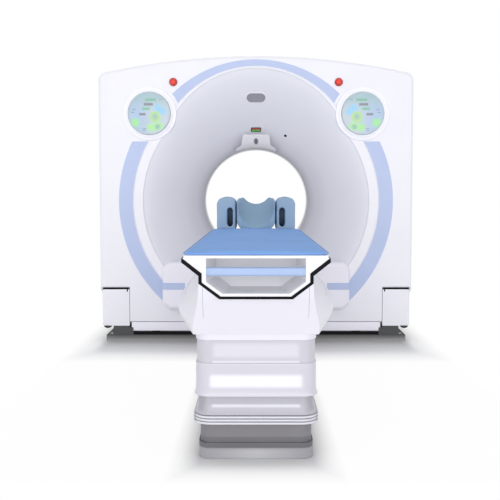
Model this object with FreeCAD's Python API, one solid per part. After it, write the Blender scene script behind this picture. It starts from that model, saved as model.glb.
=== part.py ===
import FreeCAD, Part
import math
import os

# A computed tomography scanner: a tilting ring-shaped gantry and a patient couch that
# rises, sinks and slides its table through the bore.
# Millimetres. X runs across, Y from the couch to the gantry, Z up from the floor.
# Inside this file Y is counted from the scan plane, and the gantry's Z from the isocentre.

os.makedirs("parts", exist_ok=True)
V = FreeCAD.Vector

# ---- whole machine -------------------------------------------------------------------
BELLY_RADIUS = 874.0        # the underside follows this circle about the tilt axis
FLOOR_GAP = 15.0            # under the lowest point of the belly
ISO_HEIGHT = BELLY_RADIUS + FLOOR_GAP
GANTRY_WIDTH = 1980.0
GANTRY_FRONT = 430.0        # scan plane to the front face
GANTRY_REAR = 450.0         # scan plane to the rear face
TOP_HEIGHT = 912.0          # isocentre to the highest point of the covers
TOP_ARC_RADIUS = 4490.0     # gentle arc of the top, seen from the front
SHOULDER_RADIUS = 55.0
EDGE_RADIUS = 20.0
WALL = 6.0                  # moulded cover thickness
SEAM = 0.8                  # joint between two covers
FIT = 0.3                   # small gap between pieces that must not rub
NOSE_FRONT = 2560.0         # scan plane to the foot end of the table
NEGLIGIBLE = 0.01

# ---- tilting covers ------------------------------------------------------------------
FLANK_WIDE = 188.0          # each part above a stand cover
BELLY_HALF = GANTRY_WIDTH / 2 - FLANK_WIDE
FLANK_RADIUS = 690.0        # underside of the parts above the stand covers
FRONT_SEAM = 350.0
REAR_SEAM = 370.0
TOP_SEAM = 690.0
FLANK_SLOT_FRONT = 400.0    # opening that the uprights pass, from the scan plane
FLANK_SLOT_REAR = 415.0

# ---- bore and funnels ----------------------------------------------------------------
BORE_RADIUS = 350.0
THROAT_HALF = 95.0
WINDOW_HALF = 12.0
FUNNEL_RADIUS = 713.0       # outline at the sides and below
FUNNEL_TOP_RADIUS = 593.0   # outline above, about a raised centre
FUNNEL_TOP_RISE = 243.0
FUNNEL_CURVE = 1.6
FUNNEL_STEPS = 7
REAR_FUNNEL_RADIUS = 610.0

# ---- stripe, displays and fittings of the front --------------------------------------
STRIPE_OUTER = 865.0
STRIPE_INNER = 777.0
STRIPE_END = 378.0          # height at which the side stripes end, above the isocentre
STRIPE_PROUD = 1.5
STRIPE_DEPTH = 3.0
CRESCENT_OUTER = 750.0
CRESCENT_OUTER_RISE = 139.0
CRESCENT_INNER = 634.0
CRESCENT_INNER_RISE = 216.0
CRESCENT_SPACE = 20.0       # between the crescent's end and the display rim
DISPLAY_X = 667.0
DISPLAY_Z = 551.0
DISPLAY_RADIUS = 168.0
DISPLAY_DEPTH = 26.0
DISPLAY_CHAMFER = 14.0
GLASS_RADIUS = 134.0
GLASS_THICK = 5.0
ESTOP_X = 518.0
ESTOP_Z = 748.0
ESTOP_COLLAR = 25.0
ESTOP_RADIUS = 20.5
ESTOP_STEM = 10.0
ESTOP_COLLAR_HIGH = 7.0
ESTOP_HIGH = 20.0
ESTOP_TRAVEL = 4.0
ESTOP_CHAMFER = 4.0
WINDOW_PILL_X = 60.0        # half length of the pill-shaped window
WINDOW_PILL_Z = 31.0
PILL_HEIGHT = 660.0
COUNTDOWN_HEIGHT = 470.0
COUNTDOWN_X = 33.0
COUNTDOWN_Z = 18.0
LASER_HALF = 130.0          # half width below, and above
LASER_TOP_HALF = 92.0
LASER_ROUND = 22.0
LASER_LOW = 343.0           # radius of its underside, just inside the bore
LASER_HIGH = 440.0
LASER_FRONT_LOW = 195.0     # lower and upper front edges, from the scan plane
LASER_FRONT_HIGH = 245.0
LASER_SLOT_X = 14.0
LASER_SLOT_Z = 5.0
LASER_SLOT_DEEP = 8.0
MICROPHONE_X = 193.0
MICROPHONE_HEIGHT = 429.0
MICROPHONE_RADIUS = 8.0
FITTING_PROUD = 3.0
FITTING_DEPTH = 16.0

# ---- chin of the front cover ---------------------------------------------------------
CHIN_HALF = 585.0
CHIN_TOP = 375.0            # below the isocentre
CHIN_BOTTOM = 675.0
CHIN_PROUD = 95.0
CHIN_CORNER = 60.0
CHIN_ROUND = 30.0
CHIN_REACH = 105.0          # how near to the scan plane its ledge reaches
BAND_OUTER = STRIPE_INNER - 5.0
BAND_TOP = CRESCENT_INNER - 4.0
BAND_PROUD = 9.0            # raised white band round the funnel
BAND_CHAMFER = 4.0
TICK_TOP = 504.0
TICK_BOTTOM = 547.0
TICK_INNER = 442.0

# ---- tilting frame and rotor ---------------------------------------------------------
FRAME_HALF = BELLY_HALF - WALL - FIT
FRAME_FRONT = 170.0
FRAME_REAR = 210.0
FRAME_BORE = 480.0
CHEEK_WIDE = 54.0           # side blocks that carry the trunnions
CHEEK_INNER = FRAME_HALF - CHEEK_WIDE
CHEEK_HALF = 110.0
CHEEK_FRONT = 75.0
TRUNNION_RADIUS = 45.0
TRUNNION_END = BELLY_HALF + 98.0
RACE_OUTER = 580.0
RACE_SPLIT = 530.0
RACE_INNER = 485.0
RACE_FRONT = 112.0
RACE_REAR = 165.0
DRUM_RADIUS = BELLY_HALF - 102.0
DRUM_BORE = 400.0
DRUM_FRONT = 60.0
DRUM_REAR = 110.0
DRUM_HOLE = 45.0
DRUM_HOLES = 12
DRUM_HOLE_CIRCLE = 455.0
TUBE_CENTRE = DRUM_RADIUS - 100.0
TUBE_RADIUS = 82.0
TUBE_FRONT = 185.0
TUBE_CHAMFER = 22.0
PORT_HALF = 40.0
COLLIMATOR_HALF = 85.0
COLLIMATOR_TOP_HALF = 65.0
COLLIMATOR_FRONT = 50.0
COLLIMATOR_LOW = 425.0
COLLIMATOR_HIGH = 515.0
DETECTOR_INNER = 545.0
DETECTOR_OUTER = 615.0
DETECTOR_HALF = 55.0
DETECTOR_ANGLE = 27.0
SLIP_OUTER = DRUM_RADIUS - 4.0
SLIP_INNER = SLIP_OUTER - 86.0
SLIP_REAR = 150.0
BRUSH_FRONT = 151.0
BRUSH_HALF = 60.0
BRUSH_OUTER = SLIP_OUTER - 6.0
BRUSH_TURN = 50.0
UNIT_HALF = 105.0           # the two boxes on the rotor
UNIT_DEEP = 150.0
UNIT_LOW = DRUM_RADIUS - 200.0
UNIT_HIGH = DRUM_RADIUS - 50.0
UNIT_ROUND = 12.0
BELT_THICK = 5.0
BELT_FRONT = 70.0
BELT_REAR = 100.0
PULLEY_X = -FRAME_HALF + 105.7
PULLEY_Z = -590.0
PULLEY_RADIUS = 60.0
PULLEY_SHAFT = 15.0
MOTOR_RADIUS = 72.0
MOTOR_LENGTH = 170.0
MOTOR_CHAMFER = 10.0
SHAFT_GAP = 0.05

# ---- tilt drive ----------------------------------------------------------------------
GEAR_MODULE = 6.0
SECTOR_TEETH = 100
PINION_TEETH = 15
PRESSURE_ANGLE = 20.0
SECTOR_SPAN = 42.0          # degrees each side of straight down
SECTOR_INNER = 270.0
GEAR_FRONT = FRAME_HALF + 4.0
GEAR_BACK = GEAR_FRONT + 22.0
BACKLASH = 1.2
TILT_MOTOR_RADIUS = 58.0
TILT_MOTOR_END = GANTRY_WIDTH / 2 - 20.0
PINION_SHAFT = 16.0

# ---- floor frame and stands ----------------------------------------------------------
BASE_HALF = GANTRY_WIDTH / 2 - 37.0
BASE_HIGH = 40.0
SKID_INNER = BELLY_HALF + 4.0
BEAM_FRONT = 425.0
BEAM_REAR = 440.0
BEAM_WIDE = 80.0
ANCHOR_RADIUS = 9.0
ANCHOR_X = BASE_HALF - 22.0
ANCHOR_Y = 385.0
STAND_INNER = BELLY_HALF + 28.0
STAND_OUTER = STAND_INNER + 50.0
STAND_FOOT_INNER = BELLY_HALF + 10.0
STAND_FOOT_OUTER = STAND_OUTER + 25.0
STAND_FOOT_HALF = 250.0
STAND_FOOT_HIGH = 99.0
STAND_ROOT_HALF = 170.0
STAND_ROOT_HIGH = 190.0
STAND_HALF = 52.0
HOUSING_RADIUS = 115.0
BEARING_RADIUS = 75.0
BEARING_INSET = 4.0
STAND_COVER_INNER = BELLY_HALF + 3.0
STAND_COVER_OUTER = GANTRY_WIDTH / 2 - 12.0
STAND_COVER_RADIUS = 704.0  # concave top, clear of the flank above it
STAND_COVER_LOW = 99.0
STAND_COVER_WALL = 5.0
STAND_COVER_ROUND = 12.0
STAND_SLOT_GAP = 10.0       # round the upright where it leaves the cover
BLOCK_INNER = BELLY_HALF - 20.0
BLOCK_OUTER = STAND_COVER_OUTER - 69.0
BLOCK_HIGH = 88.0
BLOCK_DEEP = 62.0
BLOCK_ROUND = 6.0
LEDGE_INNER = BELLY_HALF + 4.0  # the stand cover rests on this step of the block
LEDGE_REACH = 1.0           # block to the front and rear faces of the gantry

# ---- rear of the gantry --------------------------------------------------------------
FAN_Z = 762.0
FAN_RADIUS = 84.0
FAN_HUB = 28.0
FAN_BLADES = 7
FAN_DEEP = 26.0
FAN_BLADE_HALF = 15.0
FAN_BLADE_THICK = 3.0
FAN_BLADE_TWIST = 32.0
FAN_BORE = 88.0
FAN_FRAME = 98.0
FAN_FRAME_DEEP = 40.0
FAN_SET_BACK = 6.0          # fan to the guard
FAN_STRUT = 5.0
FAN_STRUT_HALF = 6.0
FAN_MOTOR = 20.0
FAN_SHAFT = 5.0
GRILLE_RADIUS = 94.0        # rests on the fan frame, inside the cover
GRILLE_RINGS = 4
GRILLE_BARS = 3
GRILLE_BAR = 2.5

# ---- couch base and pedestal ---------------------------------------------------------
COUCH_FRONT = 2480.0        # scan plane to the front of the pedestal covers
COUCH_REAR = 1400.0
COUCH_BASE_HALF = 206.0
COUCH_BASE_LOW_HIGH = 57.0
COUCH_BASE_HIGH = 78.0
COUCH_ANCHOR_X = 130.0
COUCH_ANCHOR_Y = 900.0
COUCH_ANCHOR_RADIUS = 7.0
COVER_CORNER = 40.0
COUCH_BASE_STEP = 6.0
COUCH_BASE_BACK = 8.0
PEDESTAL_HALF = 201.0
PEDESTAL_TOP = 232.0
COVER_WALL = 3.5
COVER_GAP = 0.5             # between two nested covers
SKIRT_HALF = 217.0          # skirt of the couch body, and the middle cover
UPPER_COVER_HALF = SKIRT_HALF - COVER_WALL - COVER_GAP
LOWER_COVER_HALF = UPPER_COVER_HALF - COVER_WALL - COVER_GAP
LOWER_COVER_TOP = 275.0
RIM_HALF = 225.0
RIM_LOW = 136.0
RIM_PITCH = 11.0
RIM_THICK = 8.0
RIM_COUNT = 3
FLARE_HALF = 220.0          # the lower cover widens to this above its rims
FLARE_HIGH = 36.0
MIDDLE_COVER_LOW = 235.0
MIDDLE_COVER_TOP = 347.0
UPPER_COVER_LOW = 325.0
UPPER_COVER_TOP = 460.0
PANEL_HALF = 152.0
PANEL_DEEP = 1.2
UPPER_PANEL = (368.0, 421.0)
MIDDLE_PANEL = (262.0, 309.0)

# ---- lifting column ------------------------------------------------------------------
COLUMN_FRONT = 2150.0
COLUMN_REAR = 1700.0
COLUMN_HALF = 150.0
COLUMN_WALL = 8.0
COLUMN_GAP = 0.5            # running clearance between two stages
OUTER_COLUMN_TOP = 290.0
MIDDLE_COLUMN = (180.0, 430.0)
INNER_COLUMN_LOW = 292.0
ACTUATOR_Y = 2270.0
ACTUATOR_RADIUS = 34.0
ACTUATOR_TOP = 330.0
ACTUATOR_FLOOR = 12.0
ROD_RADIUS = 22.0
ROD_LOW = 240.0

# ---- couch body ----------------------------------------------------------------------
BODY_REAR = 850.0
BODY_TOP = 668.0
BODY_BOTTOM = 431.0
BODY_WALL = 5.0
SKIRT_TOP = 452.0           # underside of the body's wide part
BODY_STATIONS = (
    # distance from the scan plane, shoulder half width, underside half width
    (2545.0, 203.0, 206.0),
    (2400.0, 262.0, 240.0),
    (2150.0, 318.0, 280.0),
    (1850.0, 341.0, 300.0),
    (1300.0, 341.0, 300.0),
    (850.0, 322.0, 286.0),
)
SHOULDER_HIGH = 492.0
SHOULDER_SOFT = 32.0        # how far its rounding reaches along both sides
BODY_TOP_HALF = 197.0
RAKE_TOP = 600.0            # the nose leans back below this height
RAKE_FOOT = 2483.0
CHANNEL_GAP = 8.0

# ---- table ---------------------------------------------------------------------------
TABLE_HALF = 253.0
TABLE_TOP = 738.0
TABLE_LIP = 8.0
TROUGH_HALF = 185.0
TROUGH_HIGH = 677.0
TROUGH_KNEE = 646.0
TROUGH_FOOT_HALF = 120.0
TROUGH_FOOT = 598.0
TAIL_LENGTH = 230.0
RECESS_WALL = 9.0
RECESS_DEPTH = 205.0
RECESS_TOP_HALF = 172.0
RECESS_TAPER = 24.0         # it narrows by this much each side towards its back
TRIM_THICK = 6.0
TRIM_DEEP = 14.0
BAR_LOW = 666.0
BAR_HIGH = 697.0
BAR_DEEP = 24.0
BAR_INSET = 6.0
BAR_ROUND = 9.0
CRADLE_END = 820.0
CRADLE_HALF = 250.0
CRADLE_DEPTH = 70.0
CRADLE_LIP = 8.0
RUNNER_HALF = 70.0
RUNNER_WIDE = 44.0
RUNNER_LENGTH = 620.0
RUNNER_PLATE = 14.0
RAIL_WIDE = 30.0
RAIL_HIGH = CHANNEL_GAP - COVER_GAP
RAIL_FRONT = 2505.0
RAIL_REAR = 860.0
ROLLER_Y = 880.0
ROLLER_Z = 649.0
ROLLER_RADIUS = 28.0
ROLLER_INNER = 104.0
ROLLER_OUTER = 140.0
ROLLER_PIN = 8.0
ROLLER_CHAMFER = 2.0
BRACKET_INNER = 146.0
BRACKET_HALF = 20.0
HEAD_FRONT = 1090.0
MATTRESS_HALF = 246.0
MATTRESS_END = HEAD_FRONT + 2.0
MATTRESS_TOP = 756.0
MATTRESS_SIDE = 12.0
HEAD_REAR = 822.0
HEAD_HALF = 103.0
HEAD_TOP = 922.0
HEAD_ROUND = 26.0
HEAD_FOOT_ROUND = 58.0
SCOOP_RADIUS = 96.0
SCOOP_FRONT_HIGH = 862.0
SCOOP_REAR_HIGH = 996.0
ARM_INNER = 111.0
ARM_OUTER = 211.0
ARM_ROUND = 30.0
ARM_SLOT_IN = 124.0
ARM_SLOT_OUT = 157.0
ARM_SLOT_LOW = 764.0
ARM_SLOT_HIGH = 866.0
ARM_SLOT_ROUND = 16.0
ARM_SLOT_DEEP = 90.0

# ---- couch frame ---------------------------------------------------------------------
FRAME_THICK = 40.0
COUCH_FRAME_TOP = TROUGH_FOOT - CHANNEL_GAP - BODY_WALL
COUCH_FRAME_HALF = 110.0
COUCH_FRAME_FRONT = 2395.0
COUCH_FRAME_REAR = 870.0

# ---- floor duct and inlet ------------------------------------------------------------
DUCT_HALF = 120.0
DUCT_HIGH = 30.0
INLET_HALF = 70.0
INLET_HIGH = 44.0
INLET_BORE = 15.0

ISO_Y = (NOSE_FRONT - GANTRY_REAR) / 2


# ---- helpers -------------------------------------------------------------------------
def box(x0, x1, y0, y1, z0, z1):
    return Part.makeBox(x1 - x0, y1 - y0, z1 - z0, V(x0, y0, z0))


def rod_x(radius, x0, x1, y=0.0, z=0.0):
    return Part.makeCylinder(radius, x1 - x0, V(x0, y, z), V(1, 0, 0))


def rod_y(radius, y0, y1, x=0.0, z=0.0):
    return Part.makeCylinder(radius, y1 - y0, V(x, y0, z), V(0, 1, 0))


def rod_z(radius, z0, z1, x=0.0, y=0.0):
    return Part.makeCylinder(radius, z1 - z0, V(x, y, z0), V(0, 0, 1))


def ring_y(outer, inner, y0, y1, x=0.0, z=0.0):
    return rod_y(outer, y0, y1, x, z).cut(rod_y(inner, y0, y1, x, z))


def prism_y(points, y0, y1):
    outline = [V(x, y0, z) for x, z in points]
    return Part.Face(Part.makePolygon(outline + outline[:1])).extrude(V(0, y1 - y0, 0))


def prism_x(points, x0, x1):
    outline = [V(x0, y, z) for y, z in points]
    return Part.Face(Part.makePolygon(outline + outline[:1])).extrude(V(x1 - x0, 0, 0))


def both_ways(half_points):
    """Close a half outline, given from the top down, over the middle plane."""
    return half_points + [(-x, z) for x, z in reversed(half_points)]


def mirrored(shape):
    return shape.mirror(V(0, 0, 0), V(1, 0, 0))


def pair(shape):
    return Part.makeCompound([shape, mirrored(shape)])


def joined(shapes):
    whole = shapes[0]
    for shape in shapes[1:]:
        whole = whole.fuse(shape)
    return whole.removeSplitter()


def rounded(shape, radius, chosen):
    edges = [edge for edge in shape.Edges if chosen(edge)]
    return shape.makeFillet(radius, edges)


def spans(edge, axis):
    """How far an edge reaches along one axis."""
    box_of_edge = edge.BoundBox
    return {"x": box_of_edge.XLength, "y": box_of_edge.YLength, "z": box_of_edge.ZLength}[axis]


def runs_along(edge, axis):
    others = [name for name in "xyz" if name != axis]
    return all(spans(edge, name) < NEGLIGIBLE for name in others)


def lies_at_y(edge, y):
    return spans(edge, "y") < NEGLIGIBLE and abs(edge.BoundBox.YMin - y) < NEGLIGIBLE


def at_iso(shape):
    return shape.translated(V(0, 0, ISO_HEIGHT))


NODES = {}


def keep(name, shape):
    NODES[name] = shape.translated(V(0, ISO_Y, 0))


# ---- tilting covers ------------------------------------------------------------------
def outline_slab(inset):
    """The gantry's front outline as a slab, all its outer edges rounded."""
    half = GANTRY_WIDTH / 2 - inset
    arc_radius = TOP_ARC_RADIUS - inset
    arc_centre = TOP_HEIGHT - TOP_ARC_RADIUS
    corner = arc_centre + math.sqrt(arc_radius ** 2 - half ** 2)
    low = -BELLY_RADIUS - GANTRY_FRONT
    front = -GANTRY_FRONT + inset
    rear = GANTRY_REAR - inset
    edges = [
        Part.makeLine(V(-half, front, low), V(-half, front, corner)),
        Part.Arc(V(-half, front, corner), V(0, front, arc_centre + arc_radius),
                 V(half, front, corner)).toShape(),
        Part.makeLine(V(half, front, corner), V(half, front, low)),
        Part.makeLine(V(half, front, low), V(-half, front, low)),
    ]
    slab = Part.Face(Part.Wire(edges)).extrude(V(0, rear - front, 0))
    slab = rounded(slab, SHOULDER_RADIUS - inset,
                   lambda edge: runs_along(edge, "y") and edge.BoundBox.ZMin > 0)
    return rounded(slab, EDGE_RADIUS - inset,
                   lambda edge: edge.BoundBox.ZMax > low + 1
                   and (lies_at_y(edge, front) or lies_at_y(edge, rear)))


def tilting_form(inset):
    """Everything that tilts, as one body: it stays inside circles about the tilt axis."""
    side = GANTRY_WIDTH
    above = box(-side, side, -side, side, 0, side)
    belly_half = BELLY_HALF - inset
    belly = rod_x(BELLY_RADIUS - inset, -belly_half, belly_half)
    flank = rod_x(FLANK_RADIUS - inset, -side, side)
    return outline_slab(inset).common(above.fuse(belly).fuse(flank))


def funnel_ring(share, grow, y):
    """One section of the funnel; share runs from 0 at the throat to 1 at the front."""
    low_radius = BORE_RADIUS + share * (FUNNEL_RADIUS - BORE_RADIUS) + grow
    top_radius = BORE_RADIUS + share * (FUNNEL_TOP_RADIUS - BORE_RADIUS) + grow
    rise = share * FUNNEL_TOP_RISE
    slope = (FUNNEL_RADIUS - FUNNEL_TOP_RADIUS) / FUNNEL_TOP_RISE
    meet_z = (low_radius + top_radius) * slope / 2 + rise / 2
    meet_x = math.sqrt(low_radius ** 2 - meet_z ** 2)
    low_turn = (math.atan2(meet_z, meet_x) - math.pi / 2) / 2
    top_turn = (math.atan2(meet_z - rise, meet_x) + math.pi / 2) / 2
    low_mid = V(low_radius * math.cos(low_turn), y, low_radius * math.sin(low_turn))
    top_mid = V(top_radius * math.cos(top_turn), y, rise + top_radius * math.sin(top_turn))
    corner = V(meet_x, y, meet_z)
    bottom = V(0, y, -low_radius)
    top = V(0, y, rise + top_radius)
    right = [Part.Arc(bottom, low_mid, corner), Part.Arc(corner, top_mid, top)]

    def over(point):
        return V(-point.x, point.y, point.z)

    left = [Part.Arc(top, over(top_mid), over(corner)),
            Part.Arc(over(corner), over(low_mid), bottom)]
    return Part.Wire([arc.toShape() for arc in right + left])


def funnel_depth(share):
    """Distance from the scan plane at which the funnel has that share of its width."""
    return THROAT_HALF + (GANTRY_FRONT - THROAT_HALF) * (1 - (1 - share) ** FUNNEL_CURVE)


def funnel_solid(grow):
    shares = [step / (FUNNEL_STEPS - 1) for step in range(FUNNEL_STEPS)]
    rings = [funnel_ring(share, grow, -funnel_depth(share)) for share in shares]
    return Part.makeLoft(rings, True, True)


def front_funnel_air():
    return funnel_solid(0).fuse(rod_y(BORE_RADIUS, -THROAT_HALF, -WINDOW_HALF))


def front_funnel():
    cone = funnel_solid(WALL).cut(funnel_solid(0))
    throat = ring_y(BORE_RADIUS + WALL, BORE_RADIUS, -THROAT_HALF, -WINDOW_HALF)
    return cone.fuse(throat)


def rear_funnel():
    depth = GANTRY_REAR - THROAT_HALF
    profile_out = []
    profile_in = []
    for step in range(FUNNEL_STEPS):
        share = step / (FUNNEL_STEPS - 1)
        radius = BORE_RADIUS + share * (REAR_FUNNEL_RADIUS - BORE_RADIUS)
        y = THROAT_HALF + depth * (1 - (1 - share) ** FUNNEL_CURVE)
        profile_in.append(V(radius, y, 0))
        profile_out.append(V(radius + WALL, y, 0))
    start_in = V(BORE_RADIUS, WINDOW_HALF, 0)
    start_out = V(BORE_RADIUS + WALL, WINDOW_HALF, 0)
    loop = [start_in] + profile_in + list(reversed(profile_out)) + [start_out, start_in]
    return Part.Face(Part.makePolygon(loop)).revolve(V(0, 0, 0), V(0, 1, 0), 360)


def side_stripe(y0, y1):
    """The right-hand ring stripe; it ends at the chin's side and below the display."""
    band = ring_y(STRIPE_OUTER, STRIPE_INNER, y0, y1)
    return band.common(box(CHIN_HALF + 1, GANTRY_WIDTH, y0, y1, -GANTRY_WIDTH, STRIPE_END))


def crescent(y0, y1):
    band = rod_y(CRESCENT_OUTER, y0, y1, 0, CRESCENT_OUTER_RISE)
    band = band.cut(rod_y(CRESCENT_INNER, y0, y1, 0, CRESCENT_INNER_RISE))
    band = band.common(box(-DISPLAY_X, DISPLAY_X, y0, y1, DISPLAY_Z, GANTRY_WIDTH))
    for x in (-DISPLAY_X, DISPLAY_X):
        band = band.cut(rod_y(DISPLAY_RADIUS + CRESCENT_SPACE, y0, y1, x, DISPLAY_Z))
    return band


def funnel_band():
    """The raised band between the funnel's mouth and the stripes."""
    front = -GANTRY_FRONT - BAND_PROUD
    back = -GANTRY_FRONT
    band = rod_y(BAND_OUTER, front, back).fuse(rod_y(BAND_TOP, front, back, 0,
                                                     CRESCENT_INNER_RISE))
    band = band.removeSplitter()
    band = band.makeChamfer(BAND_CHAMFER, [edge for edge in band.Edges if lies_at_y(edge, front)])
    mouth = Part.Face(funnel_ring(1, 0, front - 1)).extrude(V(0, BAND_PROUD + 1, 0))
    side = GANTRY_WIDTH
    beside_chin = box(-side, side, front, back, -CHIN_BOTTOM, side)
    band = band.common(beside_chin).cut(mouth).cut(chin_form(-FIT, back + 1))
    for x in (-DISPLAY_X, DISPLAY_X):
        band = band.cut(rod_y(DISPLAY_RADIUS + FIT, front, back, x, DISPLAY_Z))
    return band


def front_cover(skin):
    cover = skin.common(box(-GANTRY_WIDTH, GANTRY_WIDTH, -GANTRY_FRONT - WALL, -FRONT_SEAM,
                            -GANTRY_WIDTH, GANTRY_WIDTH))
    opening = Part.Face(funnel_ring(1, WALL + FIT, -GANTRY_FRONT - WALL))
    cover = cover.cut(opening.extrude(V(0, 3 * WALL, 0)))
    floor = -GANTRY_FRONT + STRIPE_DEPTH
    face = -GANTRY_FRONT - WALL
    cover = cover.cut(side_stripe(face, floor))
    cover = cover.cut(mirrored(side_stripe(face, floor)))
    cover = cover.cut(crescent(face, floor))
    collar = estop_collar()
    cover = joined([cover, funnel_band(), collar, mirrored(collar)])
    for x in (-ESTOP_X, ESTOP_X):
        hole = rod_y(ESTOP_STEM + FIT, face - WALL, face + 4 * WALL, x, ESTOP_Z)
        cover = cover.cut(hole)
    return cover


def rear_cover(skin):
    cover = skin.common(box(-GANTRY_WIDTH, GANTRY_WIDTH, REAR_SEAM, GANTRY_REAR + WALL,
                            -GANTRY_WIDTH, GANTRY_WIDTH))
    cover = cover.cut(rod_y(REAR_FUNNEL_RADIUS + WALL + FIT, REAR_SEAM, GANTRY_REAR + WALL))
    cover = cover.cut(rod_y(GRILLE_RADIUS + FIT, REAR_SEAM, GANTRY_REAR + WALL, 0, FAN_Z))
    return joined([cover, fan_frame()])


def middle_skin(skin):
    return skin.common(box(-GANTRY_WIDTH, GANTRY_WIDTH, -FRONT_SEAM + SEAM, REAR_SEAM - SEAM,
                           -GANTRY_WIDTH, GANTRY_WIDTH))


def top_cover(band):
    side = GANTRY_WIDTH
    return band.common(box(-side, side, -side, side, TOP_SEAM, side))


def side_cover(band):
    side = GANTRY_WIDTH
    return band.common(box(BELLY_HALF + SEAM, side, -side, side, -side, TOP_SEAM - SEAM))


def belly_cover(band):
    side = GANTRY_WIDTH
    return band.common(box(-BELLY_HALF, BELLY_HALF, -side, side, -side, 0))


def gantry_skin():
    skin = tilting_form(0).cut(tilting_form(WALL))
    slot_in = BELLY_HALF + WALL
    slot_out = GANTRY_WIDTH / 2 - WALL
    slot = box(slot_in, slot_out, -FLANK_SLOT_FRONT, FLANK_SLOT_REAR, -BELLY_RADIUS, -FRONT_SEAM)
    return skin.cut(slot).cut(mirrored(slot))


# ---- chin ----------------------------------------------------------------------------
def chin_form(inset, back):
    half = CHIN_HALF - inset
    top = -CHIN_TOP - inset
    front = -GANTRY_FRONT - CHIN_PROUD + inset
    form = box(-half, half, front, back, -CHIN_BOTTOM + inset, top)
    form = form.common(rod_y(STRIPE_OUTER - inset, front, back))
    form = rounded(form, CHIN_CORNER - inset,
                   lambda edge: runs_along(edge, "y") and abs(edge.BoundBox.ZMax - top) < 1)
    return rounded(form, CHIN_ROUND - inset, lambda edge: lies_at_y(edge, front))


def chin_cover(funnel_air):
    shell = chin_form(0, -CHIN_REACH).cut(chin_form(WALL, 0))
    side = GANTRY_WIDTH
    ahead = box(-side, side, -side, -GANTRY_FRONT, -side, side)
    cover = shell.common(ahead.fuse(funnel_air))
    tick = chin_tick()
    return cover.cut(tick).cut(mirrored(tick))


def chin_tick():
    """A short inlay that follows the chin's front and turns round its edge."""
    back = -GANTRY_FRONT - FIT
    skin = chin_form(-STRIPE_PROUD, back).cut(chin_form(STRIPE_DEPTH, back))
    return skin.common(box(TICK_INNER, GANTRY_WIDTH, -GANTRY_WIDTH, back,
                           -TICK_BOTTOM, -TICK_TOP))


# ---- fittings of the front -----------------------------------------------------------
def display_bezel():
    face = -GANTRY_FRONT
    disc = rod_y(DISPLAY_RADIUS, face - DISPLAY_DEPTH, face, DISPLAY_X, DISPLAY_Z)
    front = face - DISPLAY_DEPTH
    disc = disc.makeChamfer(DISPLAY_CHAMFER, [edge for edge in disc.Edges
                                              if lies_at_y(edge, front)])
    return disc.cut(rod_y(GLASS_RADIUS + FIT, front, front + GLASS_THICK, DISPLAY_X, DISPLAY_Z))


def display_glass():
    face = -GANTRY_FRONT - DISPLAY_DEPTH
    disc = rod_y(GLASS_RADIUS, face - 1, face + GLASS_THICK, DISPLAY_X, DISPLAY_Z)
    return disc.makeChamfer(1, [edge for edge in disc.Edges if lies_at_y(edge, face - 1)])


def estop_collar():
    """A ring on the front cover that the button sinks into."""
    face = -GANTRY_FRONT
    top = face - ESTOP_COLLAR_HIGH
    collar = rod_y(ESTOP_COLLAR, top, face, ESTOP_X, ESTOP_Z)
    collar = collar.makeChamfer(2, [edge for edge in collar.Edges if lies_at_y(edge, top)])
    return collar.cut(rod_y(ESTOP_RADIUS + 1, top, face, ESTOP_X, ESTOP_Z))


def estop_button(x):
    top = -GANTRY_FRONT - ESTOP_HIGH
    head_back = -GANTRY_FRONT - ESTOP_TRAVEL - FIT
    head = rod_y(ESTOP_RADIUS, top, head_back, x, ESTOP_Z)
    head = head.makeChamfer(ESTOP_CHAMFER, [edge for edge in head.Edges if lies_at_y(edge, top)])
    stem = rod_y(ESTOP_STEM, head_back, -GANTRY_FRONT + WALL, x, ESTOP_Z)
    return head.fuse(stem)


def funnel_spot(height):
    """Place and lean of the funnel's surface straight above the bore."""
    span = FUNNEL_TOP_RISE + FUNNEL_TOP_RADIUS - BORE_RADIUS
    share = (height - BORE_RADIUS) / span
    y = -funnel_depth(share)
    depth = GANTRY_FRONT - THROAT_HALF
    lean = math.degrees(math.atan(depth * FUNNEL_CURVE * (1 - share) ** (FUNNEL_CURVE - 1) / span))
    return y, lean


def on_funnel(outline, height, back, proud, x=0.0):
    """Push an outline, drawn about the origin in the XZ plane, out of the funnel."""
    y, lean = funnel_spot(height)
    body = outline.translated(V(0, -proud, 0)).extrude(V(0, back + proud, 0))
    body.rotate(V(0, 0, 0), V(1, 0, 0), lean)
    return body.translated(V(x, y, height))


def pill_outline(half_x, half_z):
    inner = half_x - half_z
    edges = [
        Part.makeLine(V(-inner, 0, half_z), V(inner, 0, half_z)),
        Part.Arc(V(inner, 0, half_z), V(half_x, 0, 0), V(inner, 0, -half_z)).toShape(),
        Part.makeLine(V(inner, 0, -half_z), V(-inner, 0, -half_z)),
        Part.Arc(V(-inner, 0, -half_z), V(-half_x, 0, 0), V(-inner, 0, half_z)).toShape(),
    ]
    return Part.Face(Part.Wire(edges))


def round_outline(radius):
    return Part.Face(Part.Wire([Part.Circle(V(0, 0, 0), V(0, 1, 0), radius).toShape()]))


def speaker_window(grow=0.0):
    return on_funnel(pill_outline(WINDOW_PILL_X + grow, WINDOW_PILL_Z + grow), PILL_HEIGHT,
                     FITTING_DEPTH, FITTING_PROUD + grow)


def countdown_display(grow=0.0):
    return on_funnel(pill_outline(COUNTDOWN_X + grow, COUNTDOWN_Z + grow), COUNTDOWN_HEIGHT,
                     FITTING_DEPTH, FITTING_PROUD + grow)


def microphone_hole():
    return on_funnel(round_outline(MICROPHONE_RADIUS), MICROPHONE_HEIGHT,
                     FITTING_DEPTH * 3, FITTING_DEPTH, MICROPHONE_X)


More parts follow.
